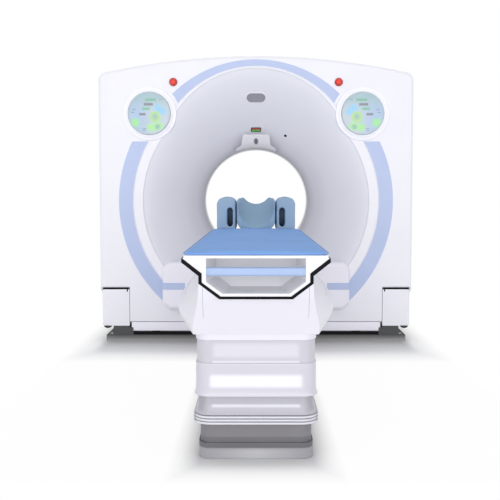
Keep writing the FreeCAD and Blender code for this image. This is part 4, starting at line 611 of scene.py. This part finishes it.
def soft_radius(turn, y):
    """The funnel's reach at a depth, with the corner at the throat rounded."""
    spread = 34.0 * min(1.0, max(0.0, (170.0 - y) / 40.0))
    total = weight = 0.0
    for step in range(-6, 7):
        share = 7 - abs(step)
        total += share * funnel_radius(turn, funnel_share(y + spread * step / 6))
        weight += share
    return total / weight


def front_funnel():
    """The flared shell, from the bore out to its mouth in the front cover."""
    depths = [13.0 + 6.0 * step for step in range(26)]
    start = funnel_share(depths[-1])
    depths += [funnel_y(start + (1 - start) * step / 34) for step in range(1, 35)]
    steps = 160
    points = []
    for outward in (0.0, 6.0):
        rows = depths if outward == 0 else list(reversed(depths))
        for y in rows:
            for step in range(steps):
                turn = 2 * math.pi * step / steps
                reach = soft_radius(turn, y) + outward
                points.append((reach * math.sin(turn) * MM, -y * MM, reach * math.cos(turn) * MM))
    piece("funnel_shell", points, grid_faces(2 * len(depths), steps, True), FUNNEL, TILT,
          GANTRY, crease=50, nodes=("front_funnel",))


def on_funnel_top(height):
    """Place on the funnel's surface straight above the bore, square on its slope."""
    span = 2 * RISE
    share = (height - BORE) / span
    lean = math.degrees(math.atan(DEPTH * EASE * (1 - share) ** (EASE - 1) / span))
    return placed(GANTRY, 0, -funnel_y(share), height, lean)


def on_funnel_side(x, z):
    """Place on the funnel's surface anywhere, facing out of it."""
    turn, reach = math.atan2(x, z), math.hypot(x, z)
    low, high = 0.0, 1.0
    for _ in range(40):
        middle = (low + high) / 2
        low, high = (middle, high) if funnel_radius(turn, middle) < reach else (low, middle)

    def spot(angle, share):
        r = funnel_radius(angle, share)
        return Vector((r * math.sin(angle), -funnel_y(share), r * math.cos(angle)))

    here = spot(turn, low)
    normal = (spot(turn + 0.01, low) - here).cross(spot(turn, low + 0.01) - here).normalized()
    if normal.y > 0:
        normal = -normal
    turned = normal.to_track_quat("-Y", "Z").to_matrix().to_4x4()
    return GANTRY @ Matrix.Translation(here * MM) @ turned


# ---- fittings of the front ----
def displays():
    rim = [(134.3, 19.5), (134.3, 22.5), (136.0, 23.8), (139.0, 24.0), (142.0, 22.6),
           (146.0, 18.6), (150.0, 15.0), (155.0, 12.4), (160.0, 11.2), (164.5, 10.4),
           (167.0, 8.0), (168.0, 4.0), (168.0, -2.0), (134.3, -2.0)]
    ring = [(126.5, 27.2), (127.0, 27.9), (130.5, 27.9), (131.0, 27.2), (131.0, 26.6),
            (126.5, 26.6)]
    for side, sign in SIDES:
        place = placed(GANTRY, sign * DISPLAY_X, FRONT, DISPLAY_Z)
        lathe("display_rim_" + side, rim, BEZEL, TILT, place, 128, crease=60,
              nodes=("display_bezels",))
        lathe("display_ring_" + side, ring, GLASS_RING, TILT, place, 128)


def emergency_stops():
    dome = [(0.0, 20.0), (6.0, 19.8), (11.5, 18.9), (15.5, 17.2), (18.4, 14.6), (20.1, 11.2),
            (20.5, 7.5), (20.5, 4.3), (10.0, 4.3), (10.0, -6.0), (0.0, -6.0)]
    ring = [(21.7, 3.0), (21.7, 7.6), (22.4, 8.2), (24.0, 8.2), (25.3, 6.8), (25.3, 1.2),
            (24.0, 1.2)]
    for side, sign in SIDES:
        place = placed(GANTRY, sign * STOP_X, FRONT, STOP_Z)
        lathe("estop_dome_" + side, dome, RED, "estop_" + side, place, 64,
              nodes=("estop_button_" + side,))
        lathe("estop_ring_" + side, ring, RED_RIM, TILT, place, 64)


def funnel_fittings():
    outer, inner = pill_outline(64.5, 35.5), pill_outline(60.3, 31.3)
    points = [(x * MM, high * MM, z * MM)
              for ring, high in ((outer, 1), (outer, -2.4), (inner, -3.6), (inner, 1))
              for x, z in ring]
    piece("pill_rim", points, grid_faces(4, len(outer), True), CHIN, TILT, on_funnel_top(660.0),
          crease=50)
    corner = [(29.0, -17.9), (31.8, -16.7), (33.0, -13.9)]
    right = corner + [(x, -z) for x, z in reversed(corner)]
    slabs("counter_panel", [right + mirrored(right)], "y", 14, -3.2, COUNTER, TILT,
          on_funnel_top(470.0), 0.8, nodes=("countdown_display",))
    lathe("microphone", [(0.0, 0.9), (5.0, 1.0), (8.2, 0.9), (9.5, 0.2), (9.5, -3.0), (0.0, -3.0)],
          BLACK, TILT, on_funnel_side(193.0, 429.0), 32)


def laser_front():
    """Housing of the positioning light: a raked block whose two arms hug the bore."""
    foot, middle, rake = 343.0, 393.0, 0.515

    def face(z):
        return -195.0 - (z - foot) * rake

    right = [(136, 332), (134, 343), (122, 354), (103, 364), (95, 376), (88, 428), (82, 437)]
    arc = [(345.0 * math.sin(math.radians(turn)), 345.0 * math.cos(math.radians(turn)))
           for turn in range(-22, 23, 2)]
    outline = arc + right + mirrored(right)
    points = [(x * MM, y * MM, z * MM) for x, z in outline for y in (face(z), -96.0)]
    count = len(outline)
    faces = [tuple(range(0, 2 * count, 2)), tuple(range(2 * count - 1, 0, -2))]
    faces += [(2 * k, 2 * k + 1, 2 * ((k + 1) % count) + 1, 2 * ((k + 1) % count))
              for k in range(count)]
    soften(piece("laser_block", points, faces, HOUSING, TILT, GANTRY,
                 nodes=("laser_housing",)), 6.0)
    place = placed(GANTRY, 0, face(middle) - 0.5, middle, math.degrees(math.atan(rake)))
    slabs("laser_lens", [oval(9.0, 16.0)], "y", 4, -2.6, LENS, TILT, place, 1.2)
    slabs("laser_lens_rim", [oval(15.0, 22.0)], "y", 4, -1.4, LENS_RIM, TILT, place, 0.8)


# ---- lower front: gaps, seams and rubber ----
def flank_gap():
    """Dark strip in the running gap over each stand cover, with a seam and a hook beside it."""
    depths = [-424.0 + 868.0 * step / 60 for step in range(61)]
    near, far = ([(y, -math.sqrt(radius ** 2 - y ** 2)) for y in depths]
                 for radius in (691.5, 703.0))
    for side, sign in SIDES:
        slabs("gap_strip_" + side, [near + far[::-1]], "x",
              *sorted((sign * 808.0, sign * 974.0)), BLACK, BASE_BODY)
    seams = [box_outline(*ends, 100, 319) for ends in ((-804.6, -802.6), (802.6, 804.6))]
    slabs("stand_seams", seams, "y", -420, -412, SEAM, BASE_BODY, COUCH)
    hook = [(814, 333), (814, 316), (818, 316), (822, 321), (822, 333)]
    slabs("gap_hooks", [hook, mirrored(hook)], "y", -430.6, -420, BLACK, BASE_BODY, COUCH, 0.5)


def low_fittings():
    """Buffers on the foot blocks, a black sheet of painted shadow and fairing over the base beam.
    """
    bow = [math.pi + math.pi * k / 16 for k in range(17)]
    buffers = [[(sign * 943 + 24 * math.cos(t), 99.5 + 15 * math.sin(t)) for t in bow]
               for _, sign in SIDES]
    slabs("rubber_buffers", buffers, "y", -436, -412, RUBBER, BASE_BODY, COUCH, 1.0)
    # painted shadow: a black sheet where there is only the shade under the gantry
    shadow_sheet = [(-781, 40.4), (781, 40.4), (781, 63), (664, 63), (660, 72), (614, 72), (610, 63),
             (-610, 63), (-614, 72), (-660, 72), (-664, 63), (-781, 63)]
    slabs("floor_shadow_sheet", [shadow_sheet], "y", -424, -352, BLACK, BASE_BODY, COUCH)
    fairing = [(-421, 62.8), (-427.5, 69), (-427.5, 120), (-426, 122.8), (-422, 121.5),
               (-400, 110), (-380, 100), (-352, 87), (-352, 62.8)]
    slabs("low_fairing", [fairing], "x", -792, 792, BELLY, BASE_BODY, COUCH, 0.8)


# ---- pedestal covers ----
def sleeve_ring(half):
    """Outline of a pedestal cover from above, with many points along its front."""
    grow = half - 201.0
    front, rear, corner = -2263.0 - half, grow - 1400.0, 40.0 + grow
    ring = []

    def run(a, b, count):
        ring.extend((a[0] + (b[0] - a[0]) * k / count, a[1] + (b[1] - a[1]) * k / count)
                    for k in range(count))

    def bend(cx, cy, first):
        ring.extend((cx + corner * math.cos(math.radians(first + 9 * k)),
                     cy + corner * math.sin(math.radians(first + 9 * k))) for k in range(10))

    inner = half - corner
    run((-inner, front), (inner, front), 72)
    bend(inner, front + corner, -90)
    run((half, front + corner), (half, rear - corner), 30)
    bend(inner, rear - corner, 0)
    run((inner, rear), (-inner, rear), 16)
    bend(-inner, rear - corner, 90)
    run((-half, rear - corner), (-half, front + corner), 30)
    bend(-inner, front + corner, 180)
    return ring


def smooth_step(value):
    value = min(1.0, max(0.0, value))
    return value * value * (3 - 2 * value)


def window(value, low, high, soft):
    return smooth_step((value - low) / soft + 0.5) * smooth_step((high - value) / soft + 0.5)


def sleeve(name, rows, wall, light_marks, sunk, material, body, node):
    """A telescoping cover: (height, half width) rows. Marks paint light and shade on its front,
    highlight above 0 and shade below it, and the first one is sunk into it."""
    rings = [(z, sleeve_ring(half)) for z, half in rows]
    plain = rows[2][1]
    inside = [(z, sleeve_ring(plain - wall)) for z, _ in reversed(rows)]
    points, painted_light_levels = [], []
    for number, (z, ring) in enumerate(rings + inside):
        front = min(y for _, y in ring)
        for x, y in ring:
            tone = push = 0.0
            # painted highlight and shade from the marks, on the front only
            if number < len(rings) and y < front + 30:
                shares = [window(abs(x), left, right, soft) * window(z, low, high, soft)
                          for left, right, low, high, soft, _ in light_marks]
                tone = sum(mark[-1] * share for mark, share in zip(light_marks, shares))
                push = sunk * shares[0]
            points.append((x * MM, (y + push) * MM, z * MM))
            painted_light_levels.append(max(-1.0, min(1.0, tone)))
    columns = len(rings[0][1])
    obj = piece(name, points, grid_faces(len(rings) * 2, columns, True), material, body, COUCH,
                crease=40, nodes=(node,))
    layer = obj.data.attributes.new("tone", "FLOAT", "POINT")
    for index, value in enumerate(painted_light_levels):
        layer.data[index].value = value


def heights(top, bottom, half, flare=0.0, flare_high=1.0):
    """Rows of a cover from its top down, with both edges rounded."""
    edge, step = 3.0, 3.5
    rows = [(top, half - edge), (top - edge * 0.3, half - edge * 0.29), (top - edge, half)]
    count = int((top - bottom - 2 * edge) / step)
    for k in range(1, count):
        z = top - edge + (bottom - top + 2 * edge) * k / count
        near = max(0.0, 1 - (z - bottom) / flare_high)
        rows.append((z, half + flare * near * near))
    wide = half + flare
    return rows + [(bottom + edge, wide), (bottom + edge * 0.3, wide - edge * 0.29 * 0.5),
                   (bottom, wide - edge * 0.6)]


def pedestal_covers():
    # marks are (left, right, low, high, soft, level): the soft panels, the lines and the lower
    # cover's rims are painted highlights; the side bands with negative levels are painted shade
    sleeve("sleeve_upper", heights(460, 325, 213.0), 3.5,
           [(-152, 152, 371, 419, 22, 0.5), (-154, 154, 349.5, 355.5, 5, 0.9),
            (186, 300, 325, 460, 30, -0.3)], 1.6, UPPER, "upper_sleeve", "upper_cover")
    sleeve("sleeve_middle", heights(347, 228, 217.0, flare=5.0, flare_high=24.0), 3.5,
           [(-163, 163, 263, 306, 20, 0.95), (-210, 210, 231, 237, 5, 0.35),
            (190, 300, 228, 347, 34, -0.25)], 1.8, MIDDLE, "middle_sleeve", "middle_cover")
    rows = [row for row in heights(275, 162, 209.0) if row[0] > 199]
    rows += [(198.0 - 36.0 * k / 8, 209.0 + 11.0 * (k / 8) ** 1.5) for k in range(9)]
    rim = ((3.0, 209.5), (3.1, 222.0), (3.6, 224.0), (5.0, 225.0), (9.0, 225.0), (10.4, 224.0),
           (10.9, 222.0), (11.0, 209.5))
    rows += [(162.0 - 11.0 * number - down, half) for number in range(3) for down, half in rim]
    sleeve("sleeve_lower", rows, 7.0,
           [(-157, 157, 189, 198, 8, 0.6), (180, 300, 172, 275, 26, -0.7),
            (-300, 300, 113, 159, 4, 0.5)], 0.0,
           LOWER, "lower_sleeve", "lower_cover")


# ---- couch ----
def couch_gasket():
    """Black gasket round the table's way and under its upper edges."""
    half = [(198, 668), (198, 640), (126.5, 586)]
    inner = [(185.8, 668), (185.8, 645.6), (120.4, 597.2)]
    ring = half + mirrored(half) + mirrored(inner)[::-1] + inner[::-1]
    slabs("way_gasket", [ring], "y", -2545.8, -2485, BLACK, LIFT, COUCH)
    strip = [(254.5, 729.5), (185.7, 676.6), (185.7, 668.8), (198, 668.8), (255.5, 714.5)]
    slabs("tail_gasket", [strip, mirrored(strip)], "y", -2559.2, -2332, BLACK, TABLE, COUCH)


def ribbon(name, spots, offset, wide, thick):
    """Faint strip that lies on the couch body along a run of spots."""
    points = [spot + offset * (out * thick - 1.0) * MM + wide * across * MM for spot in spots
              for across, out in ((-0.5, 0.0), (0.5, 0.0), (0.5, 1.0), (-0.5, 1.0))]
    ends = [(0, 1, 2, 3), tuple(len(points) - 4 + k for k in (3, 2, 1, 0))]
    piece(name, points, grid_faces(len(spots), 4) + ends, FAINT, LIFT)


def seam(name, starts, way, wide, thick, jump):
    """Joint of the couch body's skin, where rays meet it without a jump in depth."""
    spots = []
    for start in starts:
        hit, spot, _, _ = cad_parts["couch_body"].ray_cast(Vector(start), way)
        if hit and (not spots or abs((spot - spots[-1]).dot(way)) < jump):
            spots.append(spot)
    if len(spots) > 2:
        ribbon(name, spots, -way, wide, thick)


def nose_seams():
    for side, sign in SIDES:
        starts = [(sign * 0.184, -3.0, 0.515 + 0.112 * step / 32) for step in range(33)]
        seam("nose_seam_" + side, starts, Vector((0, 1, 0)), Vector((1.6, 0, 0)), 1.3, 0.012)
    for side, sign in SIDES:
        starts = [(sign * 2.0, -1.12 + 1.30 * step / 90, 0.545) for step in range(91)]
        seam("side_seam_" + side, starts, Vector((-sign, 0, 0)), Vector((0, 0, 2.0)), 1.2, math.inf)


# ---- soft goods ----
def copy_of_node(name, node):
    """A free copy of a CAD solid's mesh, without its materials."""
    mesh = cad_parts[node].data.copy()
    mesh.name = name
    mesh.materials.clear()
    return linked(name, mesh)


def applied(obj):
    """Replace the object's mesh by what its modifiers make of it."""
    graph = bpy.context.evaluated_depsgraph_get()
    made = bpy.data.meshes.new_from_object(obj.evaluated_get(graph))
    obj.modifiers.clear()
    obj.data = made


def remeshed(obj, steps):
    """Even mesh over a form, with its edges eased by so many steps."""
    grid = obj.modifiers.new("grid", "REMESH")
    grid.mode = "VOXEL"
    grid.voxel_size = 5.0 * MM
    ease = obj.modifiers.new("ease", "SMOOTH")
    ease.factor = 0.5
    ease.iterations = steps
    applied(obj)


def puffed(obj, pressure, cap, frames=20, keep=None):
    """Blow the form up as cloth, gravity off, no point moving further than the cap."""
    before = np.array([v.co for v in obj.data.vertices])
    if keep is not None:
        group = obj.vertex_groups.new(name="held")
        group.add([i for i, v in enumerate(before) if keep(v)], 1.0, "REPLACE")
    cloth = obj.modifiers.new("cloth", "CLOTH")
    cloth.settings.use_pressure = True
    cloth.settings.uniform_pressure_force = pressure
    cloth.settings.effector_weights.gravity = 0
    cloth.settings.tension_stiffness = 25
    cloth.settings.bending_stiffness = 2
    if keep is not None:
        cloth.settings.vertex_group_mass = "held"
    for number in range(1, frames + 1):
        bpy.context.scene.frame_set(number)
    applied(obj)
    bpy.context.scene.frame_set(1)
    after = np.array([v.co for v in obj.data.vertices])
    move = after - before
    reach = np.linalg.norm(move, axis=1, keepdims=True)
    move *= np.minimum(1.0, cap * MM / np.maximum(reach, 1e-9))
    for vertex, spot in zip(obj.data.vertices, before + move):
        vertex.co = spot


def wrinkle(obj, size, reach):
    """Gentle unevenness of stuffing under a cover."""
    texture = bpy.data.textures.new(obj.name + "_wave", "CLOUDS")
    texture.noise_scale = size * MM
    push = obj.modifiers.new("wave", "DISPLACE")
    push.texture = texture
    push.strength = reach * MM
    push.mid_level = 0.5
    push.texture_coords = "GLOBAL"
    applied(obj)


def finish_soft(obj, material, nodes):
    obj.data.materials.clear()
    obj.data.materials.append(material)
    obj.data.shade_smooth()
    fine = obj.modifiers.new("fine", "SUBSURF")
    fine.levels = 1
    fine.render_levels = 1
    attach(obj, TABLE)
    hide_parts(*nodes)


def head_pads():
    for name, node, steps, cap, cover in (("head_cushion", "head_holder", 10, 2.5, CUP),
                                          ("arm_cushions", "arm_pads", 8, 2.2, PAD)):
        pad = copy_of_node(name, node)
        remeshed(pad, steps)
        puffed(pad, 4.0, cap)
        wrinkle(pad, 60, 1.6)
        finish_soft(pad, cover, (node,))


def mattress():
    """Thin pad with a low crown, rounded drawn-in sides and a piped edge."""
    half, y0, y1 = 246.0, -2557.0, -1093.0
    low, side, top = 738.4, 750.0, 756.0
    across, rows = 44, 124
    columns = []
    for k in range(across + 1):
        x = -1 + 2 * k / across
        lift = side + (top - side) * (1 - x * x)
        edge = min(1.0, (1 - abs(x)) * half / 7.0)
        columns.append((x * (half - 1.0), low + (lift - low) * (0.45 + 0.55 * math.sqrt(edge))))
    for k in range(across - 1, 0, -1):
        x = -1 + 2 * k / across
        columns.append((x * (half - 6.0), low))
    count = len(columns)
    points = []
    for row in range(rows + 1):
        y = y0 + (y1 - y0) * row / rows
        near = min(row, rows - row) * (y1 - y0) / rows
        end = math.sqrt(min(1.0, (near + 0.6) / 9.0))
        wave = 0.5 * math.sin(y / 97.0) + 0.35 * math.sin(y / 41.0 + 1.3)
        for x, z in columns:
            lift = (z - low) * (0.5 + 0.5 * end)
            if z > low + 2:
                lift += wave * (1 - (x / half) ** 2) * end
            wide = (249.5 - 12.5 * row / rows) / half * (0.994 + 0.006 * end)
            points.append((x * wide * MM, y * MM, (low + lift) * MM))
    faces = grid_faces(rows + 1, count)
    for first in (0, rows * count):
        top_row = [first + k for k in range(across + 1)]
        low_row = [first] + [first + count - k for k in range(1, across)] + [first + across]
        for k in range(across):
            faces.append((top_row[k], top_row[k + 1], low_row[k + 1], low_row[k]))
    obj = linked("mattress_pad", meshed("mattress_pad", points, faces))
    obj.matrix_world = COUCH
    puffed(obj, 3.0, 1.6, 12, keep=lambda p: p[2] < (low + 1.0) * MM)
    finish_soft(obj, MATTRESS, ("mattress",))
    welt("mattress_piping", [(248.9, y0 + 1.5), (236.4, y1 - 1.0), (-236.4, y1 - 1.0),
                             (-248.9, y0 + 1.5)], 745.6, 1.8)


def welt(name, corners, z, radius):
    """Piped seam round a pad, with rounded corners."""
    bend = 12
    curve = bpy.data.curves.new(name, "CURVE")
    curve.dimensions = "3D"
    curve.bevel_depth = radius * MM
    curve.bevel_resolution = 3
    spline = curve.splines.new("POLY")
    spots = []
    for k, (x, y) in enumerate(corners):
        before, after = corners[k - 1], corners[(k + 1) % len(corners)]
        here = Vector((x, y))
        enter = here + (Vector(before) - here).normalized() * bend
        leave = here + (Vector(after) - here).normalized() * bend
        for t in (0.0, 0.25, 0.5, 0.75, 1.0):
            spots.append(enter * (1 - t) ** 2 + here * 2 * t * (1 - t) + leave * t * t)
    spline.points.add(len(spots) - 1)
    for point, spot in zip(spline.points, spots):
        point.co = (spot.x * MM, SCAN_PLANE + spot.y * MM, z * MM, 1)
    spline.use_cyclic_u = True
    curve.materials.append(MATTRESS)
    obj = linked(name, curve)
    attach(obj, TABLE)


# ---- sides and back ----
def screw_caps():
    cap = [(0.0, 0.4), (6.0, 0.4), (8.4, 0.3), (9.0, -0.2), (9.0, -2.0), (0.0, -2.0)]
    rear = [(sign * x, REAR, z, 180) for x, z in ((760, 690), (900, 160), (900, -300), (700, -620))
            for _, sign in SIDES]
    side = [(sign * 990, y, z, sign * 90) for z in (520, -160) for _, sign in SIDES
            for y in (-250, 290)]
    for group, spots in (("rear", rear), ("side", side)):
        for number, spot in enumerate(spots):
            lathe(f"{group}_cap_{number}", cap, CAP, TILT, placed(GANTRY, *spot, "Z"), 32)


def louvres():
    """Air slots low on both sides of the rear cover."""
    slots, lips = [], []
    for cx in (-735, 735):
        for row in range(7):
            z = -330.0 - 19.0 * row
            slots.append(pill_outline(62.0, 4.0, 6, cx, z))
            lips.append(box_outline(cx - 60, cx + 60, z + 5.5, z + 7.2))
    slabs("rear_louvres", slots, "y", REAR - 4, REAR + 0.3, SEAM, TILT)
    slabs("rear_louvre_lips", lips, "y", REAR - 2, REAR + 0.45, WHITE, TILT)


def finger_pulls():
    """Shallow grips at the foot of the side covers."""
    outline = pill_outline(70.0, 13.0, 12, -5.0, -230.0)
    for side, sign in SIDES:
        slabs("side_grip_" + side, [outline], "x", *sorted((sign * 986.0, sign * 990.3)), SEAM,
              TILT)


def gland_nuts():
    nut = [(11.0, 9.5), (17.5, 9.5), (20.0, 8.0), (20.0, 0.0), (11.0, 0.0)]
    plug = [(0.0, 5.0), (9.0, 5.0), (10.8, 3.5), (10.8, -6.0), (0.0, -6.0)]
    for number, x in enumerate((-35.0, 35.0)):
        place = placed(COUCH, x, 440, 62, 180, "Z")
        lathe(f"gland_nut_{number}", nut, STEEL, BASE_BODY, place, 6, crease=20)
        lathe(f"gland_plug_{number}", plug, RUBBER, BASE_BODY, place, 32)


def floor_bolts():
    head = [(0.0, 8.0), (9.0, 8.0), (12.0, 6.5), (12.0, 2.0), (17.0, 2.0), (17.0, 0.0), (0.0, 0.0)]
    for number, (x, y) in enumerate(((-921, -385), (-921, 385), (921, -385), (921, 385))):
        lathe(f"floor_bolt_{number}", head, STEEL, BASE_BODY, placed(COUCH, x, y, 40.1, -90), 24,
              crease=30)


# ---- stage ----
def seen(tree):
    """1 where the camera looks straight, in a mirror or through glass."""
    path = tree.nodes.new("ShaderNodeLightPath")
    direct = maths(tree, "MAXIMUM", path.outputs["Is Camera Ray"], path.outputs["Is Glossy Ray"])
    return maths(tree, "MAXIMUM", direct, path.outputs["Is Transmission Ray"])


def source(tree, kind, colour, strength):
    node = tree.nodes.new(kind)
    node.inputs[0].default_value = (*colour, 1)
    node.inputs[1].default_value = strength
    return node


def mixed(tree, share, first, second, out):
    """Two shaders mixed by a share into the tree's output."""
    both = tree.nodes.new("ShaderNodeMixShader")
    for socket, value in zip(both.inputs, (share, first.outputs[0], second.outputs[0])):
        tree.links.new(value, socket)
    tree.links.new(both.outputs[0], out.inputs[0])


def floor_paint():
    """White floor with contact shade under the gantry and the couch. The camera sees plain
    white where no shade is wanted; light from the machine doesn't."""
    m, tree, bsdf = shader("floor")
    colour = ramp(tree, noise(tree, 3.0), [(0.2, grey(0.94)), (0.8, grey(0.96))])
    x, y, _ = axes(tree)
    aside = maths(tree, "ABSOLUTE", x)
    under_gantry = product(tree, ranged(tree, aside, 1.0, 0.0, 925.0, 985.0),
                           ranged(tree, y, 0.0, 1.0, 230.0, 600.0),
                           ranged(tree, y, 1.0, 0.0, 1500.0, 1700.0), 0.56)
    under_couch = product(tree, ranged(tree, aside, 1.0, 0.0, 200.0, 275.0),
                          ranged(tree, y, 0.0, 1.0, -1560.0, -1410.0),
                          ranged(tree, y, 1.0, 0.0, -380.0, -250.0), 0.5)
    colour = mix(tree, under_gantry, colour, grey(0.22))
    colour = mix(tree, under_couch, colour, grey(0.3))
    tree.links.new(colour, bsdf.inputs["Base Color"])
    bsdf.inputs["Roughness"].default_value = 0.9
    bsdf.inputs["Specular IOR Level"].default_value = 0.0
    far = ranged(tree, length(tree, x, y), 0.0, 1.0, 2000.0, 3200.0)
    beside = ranged(tree, aside, 0.0, 1.0, 960.0, 1120.0)
    ahead = ranged(tree, y, 1.0, 0.0, -1640.0, -1470.0)
    between = product(tree, ranged(tree, y, 1.0, 0.0, 60.0, 330.0),
                      ranged(tree, aside, 0.0, 0.95, 205.0, 310.0))
    plain = maths(tree, "MAXIMUM", maths(tree, "MAXIMUM", far, beside),
                  maths(tree, "MAXIMUM", ahead, between))
    out = next(n for n in tree.nodes if n.type == "OUTPUT_MATERIAL")
    mixed(tree, product(tree, plain, seen(tree)), bsdf,
          source(tree, "ShaderNodeEmission", grey(1), 1.0), out)
    return m


def stage():
    half = 60.0
    mesh = bpy.data.meshes.new("floor")
    mesh.from_pydata([(-half, -half, -MM), (half, -half, -MM), (half, half, -MM),
                      (-half, half, -MM)], [], [(0, 1, 2, 3)])
    mesh.materials.append(floor_paint())
    floor = linked("floor", mesh)


def surroundings():
    """Soft light from all round, seen as plain white."""
    world = bpy.data.worlds.new("world")
    bpy.context.scene.world = world
    world.use_nodes = True
    tree = world.node_tree
    tree.nodes.clear()
    soft = source(tree, "ShaderNodeBackground", (0.985, 0.99, 1.0), 0.80)
    white = source(tree, "ShaderNodeBackground", grey(1), 1.0)
    mixed(tree, seen(tree), soft, white, tree.nodes.new("ShaderNodeOutputWorld"))


def area(name, place, aim, size, power):
    light = bpy.data.lights.new(name, "AREA")
    light.shape = "RECTANGLE"
    light.size, light.size_y = size
    light.energy = power
    obj = linked(name, light)
    obj.location = place
    obj.rotation_euler = (Vector(aim) - Vector(place)).to_track_quat("-Z", "Y").to_euler()


def lights():
    area("front", (0, -14.0, 2.0), (0, 0.6, 0.6), (10.0, 6.0), 690)
    area("low_left", (-2.3, -3.0, 0.5), (-0.3, 0.5, 0.2), (1.4, 0.8), 7)
    area("low_right", (2.3, -3.0, 0.5), (0.3, 0.5, 0.2), (1.4, 0.8), 7)
    area("key", (-2.4, -4.6, 4.0), (0, 0.3, 0.8), (3.0, 2.4), 12)
    area("top", (0, 0.4, 5.0), (0, 0.4, 0), (4.0, 4.0), 4)
    area("back", (0, 5.6, 3.2), (0, 1.2, 0.9), (4.0, 2.4), 60)


def camera():
    data = bpy.data.cameras.new("camera")
    data.sensor_width = 36.0
    data.lens = 52.4
    data.shift_x = -0.012
    data.shift_y = -0.043
    cam = linked("camera", data)
    cam.location = (0, -3.975, 0.96)
    cam.rotation_euler = (math.radians(87.0), 0, 0)
    bpy.context.scene.camera = cam
    bpy.context.scene.view_settings.view_transform = "Standard"


dress()
front_funnel()
displays()
emergency_stops()
funnel_fittings()
laser_front()
flank_gap()
low_fittings()
pedestal_covers()
couch_gasket()
nose_seams()
mattress()
head_pads()
screw_caps()
louvres()
finger_pulls()
gland_nuts()
floor_bolts()
stage()
surroundings()
lights()
camera()
